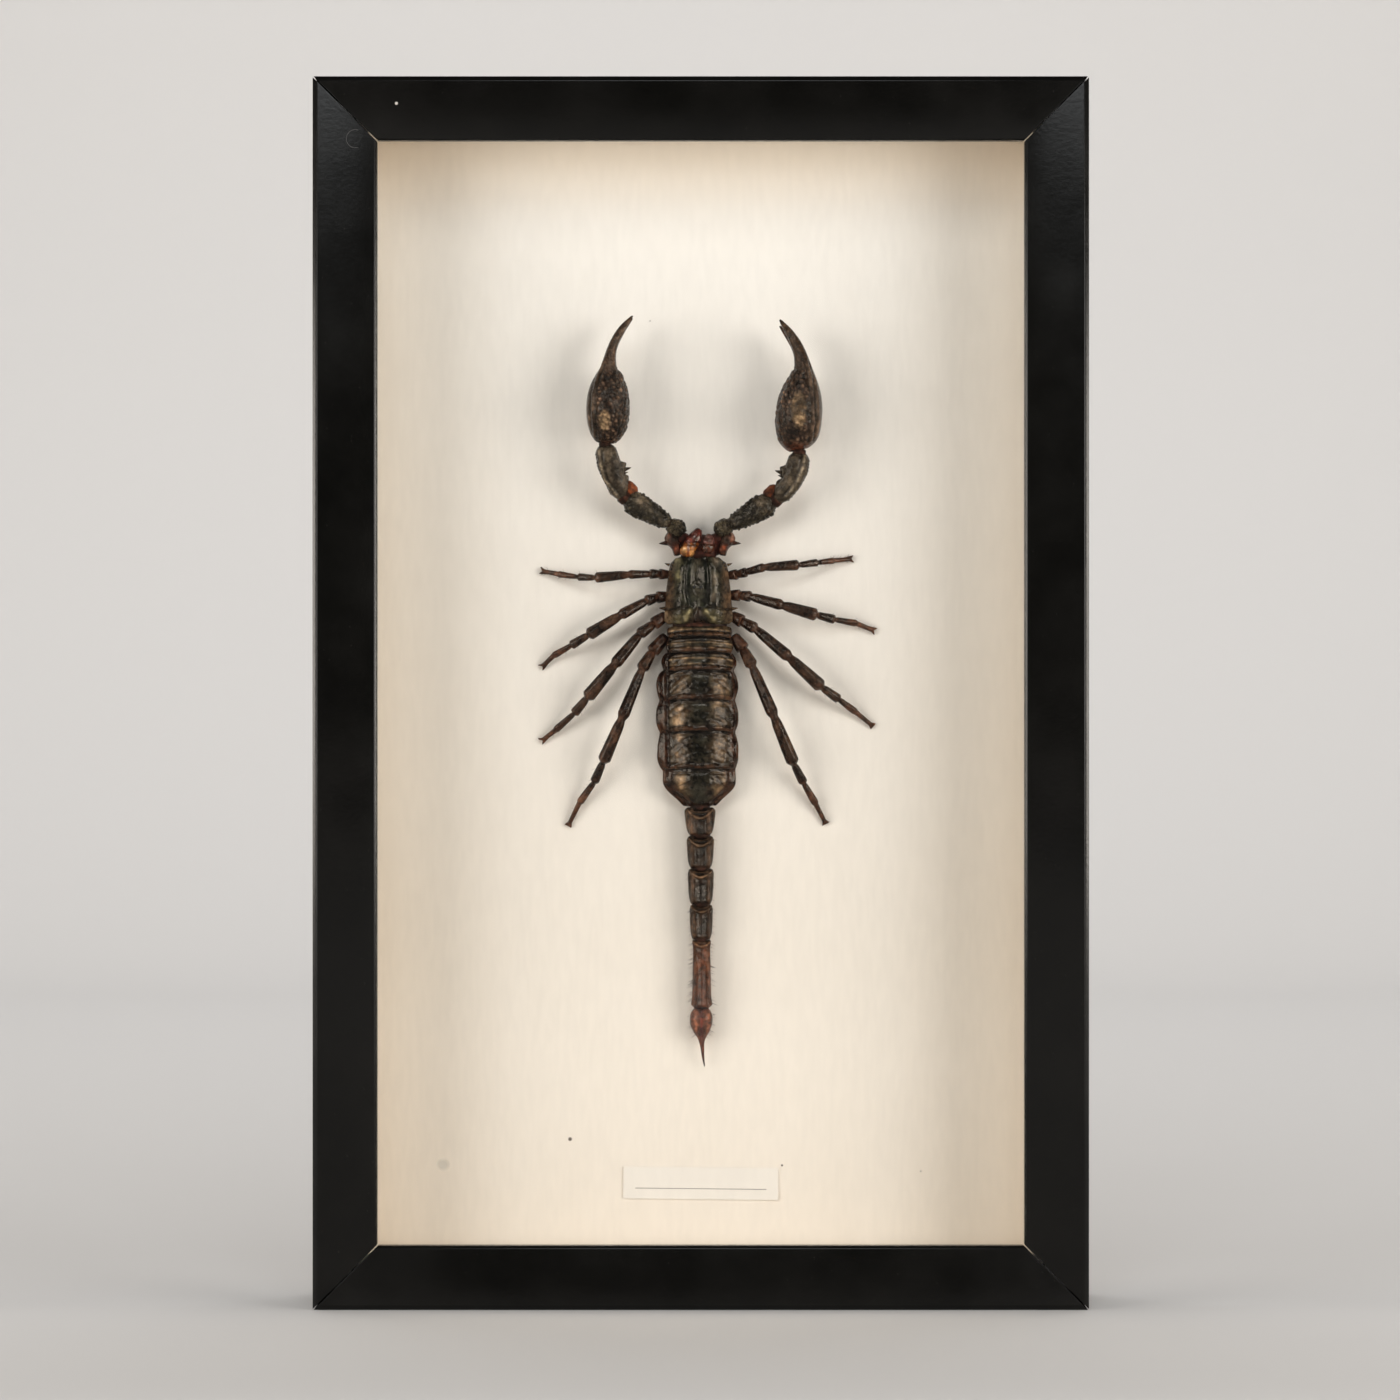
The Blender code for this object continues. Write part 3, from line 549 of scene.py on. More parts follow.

# %% [markdown]
# ## Board, card and paper
# The board is a smooth cream mount card. From close by it has a soft tooth and a slightly uneven tone,
# warmer towards the bottom, and it carries a few specks. Along the top and the sides it is painted
# darker, as painted shade where the rails shade it. The spacer strips are a plainer card. All of it is
# paper, so one tree is varied by its numbers.

# %% Paper finishes


def paper(name, glint_ridges, dark, tooth, warmer=None):
    """Card or paper: uneven tone, fine fibres and a soft tooth."""
    sheet = Finish(name)
    tone = sheet.blend("MIX", sheet.noise(45, 5), dark, glint_ridges)
    fibres = sheet.noise(700, 6, (1.0, 1.0, 0.25))
    tone = sheet.blend("MULTIPLY", 1.0, tone, sheet.ramp(fibres, (0.35, 0.965), (0.65, 1.0)))
    if warmer:
        axes = sheet.axes()
        low = sheet.ramp(axes["Z"], (0.01, 1.0), (0.24, 0.0))
        tone = sheet.blend("MULTIPLY", low, tone, warmer)
        # Painted shade along the top, where the top rail shades the board.
        high = sheet.ramp(axes["Z"], (0.256, 0.0), (0.271, 1.0))
        tone = sheet.blend("MULTIPLY", high, tone, (1.0, 0.93, 0.84))
        # Painted shade towards both sides, where the side rails shade the board.
        wide = sheet.ramp(sheet.sum("ABSOLUTE", axes["X"]), (0.044, 0.0), (0.075, 1.0))
        tone = sheet.blend("MULTIPLY", wide, tone, (0.91, 0.875, 0.83))
    sheet.set(rough=0.85, normal=sheet.bump(fibres, tooth))
    sheet.shader.inputs["Specular IOR Level"].default_value = 0.3
    sheet.tone = tone
    return sheet


board = paper("board_card", (0.915, 0.865, 0.815), (0.89, 0.835, 0.78), 0.03, (1.0, 0.945, 0.875))
BOARD_SPECKS = ((-30.9, 37.6, 0.55), (19.2, 31.4, 0.3), (52.0, 30.0, 0.2), (-12.0, 231.0, 0.18))
tone = board.tone
for x, z, radius in BOARD_SPECKS:
    place = (x * MM, BOARD_FRONT * MM, z * MM)
    tone = board.blend("MIX", board.spot(place, radius), tone, (0.12, 0.09, 0.07))
board.set(base=tone)
card = paper("spacer_card", (0.82, 0.77, 0.69), (0.72, 0.66, 0.57), 0.05)
card.set(base=card.tone)
dress_node("mount_board", board)
for side in ("top", "bottom", "left", "right"):
    dress_node(f"spacer_strip_{side}", card)
print("board specks", len(BOARD_SPECKS))

# %% [markdown]
# ## Name slip
# Under the animal a narrow paper slip is glued on, a little askew. It is left blank here, but for one
# fine grey line of the kind that is ruled for a name. A plane is drawn at the slip's size, divided,
# given a thickness, and two of its corners are lifted a hair, because glued paper seldom lies quite flat.

# %% A slip with a ruled line
slip_low, slip_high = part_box("name_slip")
slip_middle = (slip_low + slip_high) / 2
SLIP_SIZE = (0.0366, 0.0076)
SLIP_TILT = math.radians(0.6)
SLIP_LINE_Z = 0.0259
pick()
bpy.ops.mesh.primitive_plane_add(size=1.0)
slip = bpy.context.object
slip.scale = (*SLIP_SIZE, 1.0)
settle(slip, "slip")
open_whole(slip)
bpy.ops.mesh.subdivide(number_cuts=11)
close()
for x, y, rise in ((1, -1, 0.2), (-1, 1, 0.12)):
    corner = Vector((x * SLIP_SIZE[0] / 2, y * SLIP_SIZE[1] / 2, 0.0))
    pull(slip, lambda co, corner=corner: (co - corner).length < 0.1 * MM, 4.0, shift=(0.0, 0.0, rise))
finish_with(slip, "SOLIDIFY", thickness=0.00022, offset=-1.0)
slip.rotation_euler = (math.radians(90), SLIP_TILT, 0.0)
slip.location = (slip_middle.x, slip_low.y + 0.0002, slip_middle.z)
settle(slip)
note = paper("slip_paper", (0.9, 0.83, 0.755), (0.875, 0.805, 0.73), 0.02)
axes = note.axes()
height = note.sum("MULTIPLY_ADD", axes["X"], math.tan(SLIP_TILT), -SLIP_LINE_Z)
height = note.sum("ADD", axes["Z"], height)
line = note.sum("LESS_THAN", note.sum("ABSOLUTE", height), 0.09 * MM)
ends = note.sum("LESS_THAN", note.sum("ABSOLUTE", axes["X"]), 15.5 * MM)
ink = note.blend("MULTIPLY", note.sum("MULTIPLY", line, ends), note.tone, (0.34, 0.32, 0.31))
note.set(base=ink)
hand_over(slip, "name_slip", note.material, "name_slip")

# %% [markdown]
# ## The back
# Behind the board lies a sheet of brown fibreboard, held by six steel tabs, with a keyhole hanger
# riveted near the top. Fibreboard is pressed wood fibre: short fibres in every direction, with darker
# clumps. The fittings are zinc-plated steel, whose crystals show as a faint mosaic under fine scratches.

# %% Fibreboard and zinc
fibreboard = Finish("back_fibreboard")
felt = fibreboard.noise(420, 8, (1.0, 1.0, 0.35), 0.7)
clumps = fibreboard.noise(70, 4)
wood = fibreboard.ramp(felt, (0.35, (0.13, 0.075, 0.035)), (0.65, (0.3, 0.19, 0.1)))
wood = fibreboard.blend("MULTIPLY", 1.0, wood, fibreboard.ramp(clumps, (0.3, 0.7), (0.7, 1.05)))
fibreboard.set(base=wood, rough=0.9, normal=fibreboard.bump(felt, 0.12))
dress_node("back_panel", fibreboard)

zinc = Finish("zinc_steel")
spangle = zinc.cells(330, output="Color")
scratch = zinc.noise(500, 3, (1.0, 1.0, 0.06))
plate = zinc.blend("MIX", 0.25, (0.55, 0.56, 0.58), spangle)
streaks = zinc.ramp(scratch, (0.4, (0.42, 0.43, 0.45)), (0.6, (0.62, 0.63, 0.64)))
plate = zinc.blend("MIX", 0.8, plate, streaks)
zinc.set(
    base=plate,
    rough=zinc.ramp(scratch, (0.35, 0.3), (0.65, 0.5)),
    metal=1.0,
    normal=zinc.bump(scratch, 0.02),
)
print("fibreboard", len(fibreboard.tree.nodes), "nodes, zinc", len(zinc.tree.nodes), "nodes")

# %% [markdown]
# A framer's tab is a thin steel strip with rounded corners. It starts flat in the rebate wall, and its
# free end is turned up a little so that a finger can lift it. One is modelled where the bottom tab lies:
# a cube made into a strip, cut across, its corners bevelled, its end lifted. The other five are copies.

# %% One tab, six places
tab_low, tab_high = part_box("back_tab_bottom")
tab_size = tab_high - tab_low
pick()
bpy.ops.mesh.primitive_cube_add(size=1.0)
tab = bpy.context.object
tab.scale = tab_size
settle(tab)
mark(tab, "EDGE", lambda a, b: abs(a.x - b.x) < 1e-6 and abs(a.y - b.y) < 1e-6)
bpy.ops.mesh.subdivide(number_cuts=9)
close()
mark(tab, "EDGE", lambda a, b: abs(a.y - b.y) > 1e-5 and min(a.z, b.z) > tab_size.z * 0.49)
bpy.ops.mesh.bevel(offset=2.4 * MM, segments=5, affect="EDGES")
pull(tab, lambda co: co.z > tab_size.z * 0.49, 4.0, shift=(0.0, 1.2, 0.0))
finish_with(tab, "BEVEL", width=0.12 * MM, segments=1, limit_method="ANGLE")
bpy.ops.object.shade_smooth_by_angle(angle=math.radians(35))
tab.data.materials.append(zinc.material)

for name, turn in (
    ("back_tab_bottom", 0), ("back_tab_top", 180), ("back_tab_left_lower", 90),
    ("back_tab_left_upper", 90), ("back_tab_right_lower", -90), ("back_tab_right_upper", -90),
):
    copy = bpy.data.objects.new(name.replace("back_tab", "panel_tab"), tab.data.copy())
    bpy.context.scene.collection.objects.link(copy)
    low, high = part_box(name)
    copy.location = (low + high) / 2
    copy.rotation_euler = (0.0, math.radians(turn), 0.0)
    settle(copy, copy.name)
    hand_over(copy, "steel", zinc.material, name)
bpy.data.objects.remove(tab)

# %% [markdown]
# The hanger plate and its rivets already have their true shape, keyhole and all. A stamped plate has
# softened edges though, so each is copied and given a small bevel.

# %% Soften the hanger and its rivets
for name in ("hanger_plate", "hanger_rivet_left", "hanger_rivet_right"):
    piece = bevelled_copy(name, name.replace("hanger", "wall_hanger"), 0.15, 35)
    hand_over(piece, "steel", zinc.material, name)

# %% [markdown]
# ## Sculpting and painting by place
# A scorpion's shell is full of furrows, rims and folds that follow its own lines. Cutting each as faces
# would take thousands of strokes. Instead every point of a finely divided piece is read in the
# specimen's measures, and moved along its normal by a height that depends on where it lies, which is
# what a sculpting brush does. The same measures give each point its colour, kept in an attribute called
# paint, so a rim that is raised can also be reddened.

# %% Helpers for relief and paint


def read(piece):
    """Each point as across, along, lift in millimetres, and its normal in the same directions."""
    mesh = piece.data
    count = len(mesh.vertices)
    co = np.empty(count * 3)
    mesh.vertices.foreach_get("co", co)
    x, y, z = co.reshape(-1, 3).T / MM
    normal = np.empty(count * 3, np.float32)
    mesh.vertex_normals.foreach_get("vector", normal)
    normal = normal.reshape(-1, 3)
    facing = np.stack((normal[:, 0], normal[:, 2], -normal[:, 1]), axis=1)
    return x - SPECIMEN_X, z - SPECIMEN_Z, BOARD_FRONT - y, facing


def raise_by(piece, height):
    """Moves each point along its normal by its own height in millimetres."""
    mesh = piece.data
    count = len(mesh.vertices)
    co = np.empty(count * 3)
    mesh.vertices.foreach_get("co", co)
    normal = np.empty(count * 3, np.float32)
    mesh.vertex_normals.foreach_get("vector", normal)
    co = co.reshape(-1, 3) + normal.reshape(-1, 3) * (np.asarray(height) * MM)[:, None]
    mesh.vertices.foreach_set("co", co.ravel())
    mesh.update()


print("helpers for relief are ready")

# %% [markdown]
# Zones are soft: a bell around a line, or an ease from nothing to all. A line is given by a few points on
# the body, and follow tells how far from it a point lies and which of its runs is nearest.

# %% Helpers for soft zones


def bell(distance, width):
    """1 at no distance, fading smoothly over about this width."""
    return np.exp(-((distance / width) ** 2))


def ease(value, low, high):
    """0 below low, 1 above high, smooth between."""
    share = np.clip((value - low) / (high - low), 0.0, 1.0)
    return share * share * (3 - 2 * share)


def follow(across, along, route):
    """Each point's gap to a route across and along the body, and how many runs along it that is."""
    nearest = np.full(across.shape, 1e9)
    runs = np.zeros(across.shape)
    for i, ((x0, z0), (x1, z1)) in enumerate(zip(route, route[1:])):
        dx, dz = x1 - x0, z1 - z0
        share = np.clip(((across - x0) * dx + (along - z0) * dz) / (dx * dx + dz * dz), 0, 1)
        gap = np.hypot(across - x0 - share * dx, along - z0 - share * dz)
        runs = np.where(gap < nearest, i + share, runs)
        nearest = np.minimum(nearest, gap)
    return nearest, runs


def along_line(across, along, line, width):
    """1 on a line drawn through points across and along the body, fading to its sides."""
    return bell(follow(across, along, line)[0], width)


def upward(facing, low=0, high=0.4):
    """1 where the skin faces away from the board, 0 on its flanks and underside."""
    return ease(facing[:, 2], low, high)


print("helpers for zones are ready")

# %% [markdown]
# Two fields give unevenness: slow noise, and scattered cells. Colour is laid on in layers, each with its
# own share, and is stored on the mesh as an attribute that the shell finishes read.

# %% Helpers for unevenness and paint


def ripple(across, along, lift, seed):
    """A smooth unevenness between -1 and 1, from a few crossing waves."""
    chance = random.Random(seed)
    total = 0.0
    for _ in range(6):
        a, b, c = (chance.uniform(-1.0, 1.0) for _ in range(3))
        total = total + np.sin(a * across + b * along + c * lift + chance.uniform(0, 6.28))
    return total / 6


def cell_field(across, along, lift, size):
    """How far each point lies inside a pebble, 0 at its rim, for pebbles scattered in space."""
    grid = np.stack((across, along, lift), axis=1) / size
    home = np.floor(grid)
    nearest = np.full(len(grid), 9.0)
    second = nearest.copy()
    mixing = np.array(((127.1, 269.5, 113.5), (311.7, 183.3, 271.9), (74.7, 246.1, 124.6)))
    for step in np.ndindex(3, 3, 3):
        corner = home + np.array(step) - 1
        chance = np.sin(corner @ mixing) * 43758.5453
        middle = corner + 0.12 + 0.76 * (chance - np.floor(chance))
        gap = np.linalg.norm(grid - middle, axis=1)
        second = np.minimum(second, np.maximum(gap, nearest))
        nearest = np.minimum(nearest, gap)
    return second - nearest


def tint(base, *layers):
    """Mixes layers of (share, colour) over a base colour, point by point."""
    colour = np.array(base)[None, :] * np.ones((len(layers[0][0]), 1))
    for share, other in layers:
        share = np.clip(np.asarray(share), 0, 1)[:, None]
        colour = colour * (1 - share) + np.array(other)[None, :] * share
    return colour


def paint(piece, colours):
    """Stores one colour for each point."""
    layer = piece.data.attributes.new("paint", "FLOAT_COLOR", "POINT")
    rgba = np.ones((len(piece.data.vertices), 4), np.float32)
    rgba[:, :3] = colours
    layer.data.foreach_set("color", rgba.ravel())


print("relief and paint are ready")

# %% [markdown]
# ## Shell finish
# Scorpion shell is hard and slightly greasy. It is nearly black where it is thick and red or amber where
# it is thin. The paint attribute carries those zones, and clouds and speckle break them up. A gamma then
# deepens the darks. The gloss is narrow and weak, because a broad one lays a grey veil over a dark shell.
# A fine grain over soft lumps scatters it. Claws and legs get a coarser grain than the back plates.

# %% Shell finishes


def shell(name, gloss, grain, depth, swell, shine, lift=2.95):
    """A shell coloured by the paint attribute, with relief from a fine grain over soft lumps."""
    finish = Finish(name)
    colour = finish.add("Attribute")
    colour.attribute_name = "paint"
    clouds = finish.noise(260, 5)
    fine = finish.noise(grain, 3)
    lumps = finish.noise(620, 3)
    uneven = finish.ramp(clouds, (0.4, (0.62, 0.58, 0.54)), (0.6, (1.4, 1.33, 1.25)))
    base = finish.blend("MULTIPLY", 1.0, colour.outputs["Color"], uneven)
    speckle = finish.ramp(finish.noise(850, 4), (0.4, (0.5, 0.46, 0.43)), (0.6, (1.6, 1.52, 1.44)))
    base = finish.blend("MULTIPLY", 0.85, base, speckle)
    deeper = finish.add("Gamma", Gamma=1.3)
    finish.link(base, deeper.inputs["Color"])
    base = finish.blend("MULTIPLY", 1.0, deeper.outputs["Color"], (lift, lift, lift))
    pits = finish.ramp(finish.cells(grain * 0.6), (0.05, 0.6), (0.3, 1.0))
    base = finish.blend("MULTIPLY", 0.7, base, pits)
    low, high = gloss
    finish.set(
        base=base,
        rough=finish.ramp(fine, (0.3, low), (0.7, high)),
        normal=finish.bump(fine, depth, finish.bump(lumps, swell)),
    )
    finish.shader.inputs["Specular IOR Level"].default_value = shine
    finish.shader.inputs["Specular Tint"].default_value = (1.0, 0.89, 0.77, 1.0)
    return finish.material


body_shell = shell("body_shell", (0.12, 0.2), 1500, 0.06, 0.16, 0.3)
tail_shell = shell("tail_shell", (0.15, 0.26), 1300, 0.08, 0.22, 0.26, 2.2)
leg_shell = shell("leg_shell", (0.15, 0.26), 1400, 0.08, 0.25, 0.28)
claw_shell = shell("claw_shell", (0.18, 0.29), 1100, 0.12, 0.36, 0.25)
jaw_shell = shell("jaw_shell", (0.12, 0.22), 1400, 0.05, 0.18, 0.5, 2.2)
joint_skin = shell("joint_skin", (0.35, 0.55), 900, 0.16, 0.4, 0.15)

bristle = Finish("bristle")
browns = bristle.ramp(bristle.noise(700), (0.3, (0.05, 0.022, 0.012)), (0.7, (0.12, 0.055, 0.03)))
bristle.set(base=browns, rough=0.45)
eye = Finish("eye_bead")
blacks = eye.ramp(eye.noise(2500), (0.3, (0.004, 0.004, 0.005)), (0.7, (0.012, 0.01, 0.008)))
eye.set(base=blacks, rough=0.06)
print("shell finishes", [m.name for m in bpy.data.materials if "shell" in m.name])

# %% [markdown]
# ## Thorns, pebbles and hairs
# The same three small shapes come back all over the animal. A thorn is a six-sided cone whose tip is
# drawn out and leans. A pebble is a coarse ball, flattened. A hair is a three-sided cone, drawn out once
# more so that it bends. Each is modelled once at one millimetre, lying along Z, and planted as copies.

# %% Three small shapes


def cone(name, sides, radius, lean):
    """A slender cone one millimetre tall whose upper part leans over."""
    pick()
    bpy.ops.mesh.primitive_cone_add(
        vertices=sides, radius1=radius * MM, radius2=radius * 0.62 * MM, depth=0.5 * MM,
        location=(0, 0, 0.2 * MM),
    )
    piece = settle(bpy.context.object, name)
    mark(piece, "FACE", lambda middle, normal: normal.z > 0.9)
    bpy.ops.mesh.extrude_region_move(TRANSFORM_OT_translate={"value": (lean * MM, 0.0, 0.3 * MM)})
    bpy.ops.transform.resize(value=(0.6, 0.6, 1.0))
    bpy.ops.mesh.extrude_region_move(TRANSFORM_OT_translate={"value": (lean * 2 * MM, 0.0, 0.25 * MM)})
    bpy.ops.transform.resize(value=(0.25, 0.25, 1.0))
    close()
    bpy.ops.object.shade_smooth()
    return piece


thorn = cone("thorn", 6, 0.34, 0.05)
hair = cone("hair", 3, 0.035, 0.06)
pick()
bpy.ops.mesh.primitive_ico_sphere_add(subdivisions=1, radius=0.5 * MM)
pebble = bpy.context.object
pebble.scale = (1.0, 1.0, 0.75)
settle(pebble, "pebble")
bpy.ops.object.shade_smooth()
print("faces:", {p.name: len(p.data.polygons) for p in (thorn, hair, pebble)})

# %% [markdown]
# Each copy stands on a spot of the skin. The spot comes from the nearest skin, or from a line dropped
# from above.

# %% Helpers for planting them


def plant(template, name, spots):
    """Copies of a small shape, each with its own mesh, at (place, direction, size), joined into one."""
    copies = []
    for place, direction, size in spots:
        copy = bpy.data.objects.new(name, template.data.copy())
        turn = direction.to_track_quat("Z", "Y").to_matrix().to_4x4()
        copy.matrix_world = Matrix.Translation(place) @ turn @ Matrix.Scale(size, 4)
        bpy.context.scene.collection.objects.link(copy)
        copies.append(copy)
    pick(*copies)
    bpy.ops.object.join()
    return settle(bpy.context.object, name)


def on_skin(piece, place, direction=None, size=1.0, sink=0.0):
    """The nearest spot on a piece's skin, with its normal or a direction of our own."""
    _, spot, normal, _ = piece.closest_point_on_mesh(place)
    way = normal if direction is None else (normal * 0.5 + direction).normalized()
    return spot - way * sink * MM, way, size


def dropped(piece, across, along, lift):
    """The spot and normal where a line from above meets a piece, as a list that is empty on a miss."""
    hit, spot, normal, _ = piece.ray_cast(at(across, along, lift), course(0, 0, -1))
    return [(spot, normal)] if hit else []


def on_route(route, share, offset=0.0):
    """Across and along at a share of a route's way, set off to one side by an offset."""
    share = share * (len(route) - 1.001)
    run = int(share)
    (x0, z0), (x1, z1) = route[run], route[run + 1]
    aside = offset / math.hypot(x1 - x0, z1 - z0)
    x = x0 + (x1 - x0) * (share - run) + (z1 - z0) * aside
    return x, z0 + (z1 - z0) * (share - run) - (x1 - x0) * aside


def add_to(piece, *extras):
    """Joins extras into a piece."""
    pick(piece, *extras)
    bpy.ops.object.join()
    return piece


print("helpers for planting are ready")

# %% [markdown]
# ## Carapace
# The shield over the head and the legs is one plate. Seen from above it has two swollen lobes, a sunken
# strip between them with the eye knob in its middle, lyre-shaped furrows beside the strip, and a
# triangle pressed in at the rear between two bright ridges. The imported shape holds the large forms, and
# the furrows are pressed into a finer copy of it.

# %% Press the carapace's furrows
carapace = rounded_copy("carapace", "head_shield", 3)
across, along, lift, facing = read(carapace)
top = upward(facing, 0.1)
LYRE = (
    ((-2.4, 15.4), (-2.9, 12.5), (-3.0, 8.2), (-2.2, 4.6)),
    ((1.2, 15.4), (1.6, 12.5), (1.75, 8.2), (1.2, 4.6)),
)
MIDDLE_FURROW = ((-0.6, 15.4), (-0.6, 9.9))
REAR_FURROW = ((-0.6, 7.0), (-0.6, 3.9))
REAR_RIDGES = (((-2.3, 3.6), (-2.7, 2.6), (-3.5, 1.4)), ((1.3, 3.5), (2.2, 2.3), (3.7, 1.0)))
CROSS_LINES = (((-8.0, 3.6), (-5.0, 3.9), (-2.8, 4.4)), ((7.2, 3.6), (4.6, 3.9), (1.9, 4.4)))
furrows = sum(along_line(across, along, line, 0.6) for line in LYRE)
middle = along_line(across, along, MIDDLE_FURROW, 0.22) + along_line(across, along, REAR_FURROW, 0.25)
ridges = sum(along_line(across, along, line, 0.42) for line in REAR_RIDGES)
cross = sum(along_line(across, along, line, 0.26) for line in CROSS_LINES)
hollow = bell(across + 0.5, 0.5 + 0.45 * np.clip(4.2 - along, 0, 4))
hollow = hollow * ease(4.4 - along, 0, 1) * (1 - ridges)
rear_line = bell(along - 1.0, 0.18) * ease(np.abs(across + 0.3), 3.0, 4.0)
uneven = ripple(across * 1.3, along * 1.1, lift, 3) + 0.6 * ripple(across * 3.4, along * 2.6, lift, 4)
knob = np.hypot((across + 0.6) / 1.15, (along - 8.7) / 1.7)
height = -0.5 * furrows - 0.26 * middle + 0.26 * ridges - 0.24 * cross - 0.4 * hollow - 0.16 * rear_line
height = height + 0.16 * bell(knob - 1, 0.2) + 0.1 * bell(knob, 0.6)
raise_by(carapace, top * (height + 0.09 * uneven))
print("carapace relief from", round(height.min(), 2), "to", round(height.max(), 2), "mm")

# %% [markdown]
# Its margins are sown with fine pebbles, and short thorns stand at the front and rear corners. The paint
# comes after them, so that they take the shell's colours too. The paint also holds painted highlights
# on the lobes, by the rear corners and on the rear ridges, and painted shade in the furrows and in the
# pressed-in triangle.

# %% Pebbles, thorns and paint of the carapace
GRAINS = 230
HALF_WIDTH = 7.6
chance = random.Random(11)
spots = []
while len(spots) < GRAINS:
    u = chance.choice((-1, 1)) * chance.uniform(0.55, 0.97)
    chance.random()  # a spare draw that keeps the later ones, and so the grains, where they were judged
    for spot, normal in dropped(carapace, -0.35 + u * HALF_WIDTH, chance.uniform(1.2, 15.2), 20.0):
        spots.append((spot, normal, chance.uniform(0.22, 0.42)))
grains = plant(pebble, "carapace_grains", spots)
corner_thorns = plant(thorn, "carapace_thorns", [
    (at(-8.1, 3.9, 5.0), course(-1.0, 0.1, 0.15), 1.6),
    (at(7.5, 3.9, 5.0), course(1.0, 0.1, 0.15), 1.5),
    (at(-7.2, 14.2, 5.0), course(-1.0, 0.35, 0.1), 1.2),
    (at(6.5, 14.2, 5.0), course(1.0, 0.35, 0.1), 1.2),
])
add_to(carapace, grains, corner_thorns)
across, along, lift, facing = read(carapace)
top = upward(facing, 0.1)
# Painted highlight on the rear ridges, and painted shade in the pressed-in triangle between them.
ridges = sum(along_line(across, along, line, 0.5) for line in REAR_RIDGES)
triangle = bell(across + 0.5, 0.7 + 0.55 * np.clip(4.2 - along, 0, 4)) * ease(4.6 - along, 0, 1)
# Painted highlights: a broken streak down each lobe, and a bright spot by each rear corner.
LEFT_LOBE_HIGHLIGHT_LINE = ((-5.2, 15.4), (-4.9, 11.0), (-4.6, 7.2))
RIGHT_LOBE_HIGHLIGHT_LINE = ((3.8, 15.8), (3.5, 11.0), (3.05, 6.3))
uneven = ripple(across * 1.4, along * 1.6, lift, 90)
left_lobe_highlight = along_line(across, along, LEFT_LOBE_HIGHLIGHT_LINE, 0.85) * ease(uneven, -0.5, 0.5)
right_lobe_highlight = along_line(across, along, RIGHT_LOBE_HIGHLIGHT_LINE, 0.75) * ease(uneven, -0.6, 0.4)
rear_corner_highlights = bell(np.hypot(across + 4.7, along - 0.9), 1.5) + bell(np.hypot(across - 4.1, along - 1.0), 1.5)
# The lyre furrows and the cross lines are painted darker, as painted shade in the grooves.
furrows = np.clip(sum(along_line(across, along, line, 0.7) for line in LYRE), 0, 1)
cross = sum(along_line(across, along, line, 0.4) for line in CROSS_LINES)
paint(carapace, tint(
    (0.014, 0.015, 0.011),
    (1 - top, (0.022, 0.012, 0.009)),
    (top * ease(np.abs(across + 0.45), 4.9, 6.8), (0.062, 0.044, 0.03)),
    (top * left_lobe_highlight * 0.7, (0.1, 0.096, 0.062)),
    (top * right_lobe_highlight * 0.75, (0.14, 0.125, 0.105)),
    (top * bell(across + 0.6, 1.2) * ease(along, 5.5, 8.0) * 0.8, (0.045, 0.043, 0.035)),
    (top * ease(4.2 - along, 0, 1) * ease(np.abs(across + 0.5), 2.0, 3.2) * 0.3, (0.06, 0.052, 0.034)),
    (top * rear_corner_highlights * 0.7, (0.085, 0.08, 0.05)),
    (top * triangle * 0.9, (0.016, 0.01, 0.008)),
    (top * ridges * 0.8, (0.15, 0.14, 0.09)),
    (furrows * 0.9, (0.007, 0.009, 0.007)),
    (cross * 0.7, (0.012, 0.009, 0.006)),
))
carapace.data.materials.append(body_shell)
carapace.data.materials.append(eye.material)
print("carapace grains", len(spots))

# %% [markdown]
# Its eyes are two black beads on the knob, and three smaller ones sit behind each front corner. Each is a
# ball whose rear, where it sits in the shell, is flattened and spread.

# %% Eyes
EYES = (
    (-1.45, 8.9, 0.36), (0.25, 8.9, 0.36), (-6.2, 14.6, 0.28), (-6.55, 13.9, 0.28), (-6.75, 13.2, 0.26),
    (5.5, 14.6, 0.28), (5.85, 13.9, 0.28), (6.05, 13.2, 0.26),
)


def bead(name, place, radius):
    """An eye: a small ball, flattened and spread where it sits."""
    pick()
    bpy.ops.mesh.primitive_uv_sphere_add(segments=16, ring_count=10, radius=radius * MM, location=place)
    ball = bpy.context.object
    mark(ball, "VERT", lambda co: co.y > radius * 0.4 * MM)
    bpy.ops.transform.resize(value=(1.15, 0.3, 1.15))
    close()
    bpy.ops.object.shade_smooth()
    settle(ball, name)
    ball.data.materials.append(eye.material)
    return ball


beads = []
for i, (x, z, radius) in enumerate(EYES):
    for spot, normal in dropped(carapace, x, z, 20.0):
        beads.append(bead(f"eye_{i}", spot + normal * radius * 0.35 * MM, radius))
add_to(carapace, *beads)
hand_over(carapace, "body_shell", body_shell, "carapace")
print("eyes", len(beads))

# %% [markdown]
# ## Abdomen
# Seven plates overlap from front to rear, each with a rolled reddish border, a hairline ahead of it and
# a sharp step down to the next. Fine wrinkles run across them. At the sides the leathery skin folds
# lengthwise where it dried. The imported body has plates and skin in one, so the borders, hairlines and
# folds are functions of how far a point lies from the nearest plate's edge. The last plate is drawn in
# towards the tail first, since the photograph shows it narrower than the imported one.

# %% Plates and folds of the abdomen
PLATE_EDGES = np.array((0.0, -2.9, -6.5, -10.8, -17.6, -25.1, -34.0, -42.6))
abdomen = rounded_copy("abdomen", "back_plates", 3)
pull(
    abdomen, lambda co: co.z / MM - SPECIMEN_Z < -41.0, 5.0,
    scale=(0.86, 1.0, 1.0), about=at(0.0, -42.0, 4.0),
)


def plates(across, along):
    """Which plate a point is on, and its distance from that plate's front and rear edges."""
    bowed = along + 0.5 * np.abs(across / 7.2) ** 4
    index = np.clip(np.searchsorted(-PLATE_EDGES, -bowed) - 1, 0, 6)
    return index, PLATE_EDGES[index] - bowed, bowed - PLATE_EDGES[index + 1]


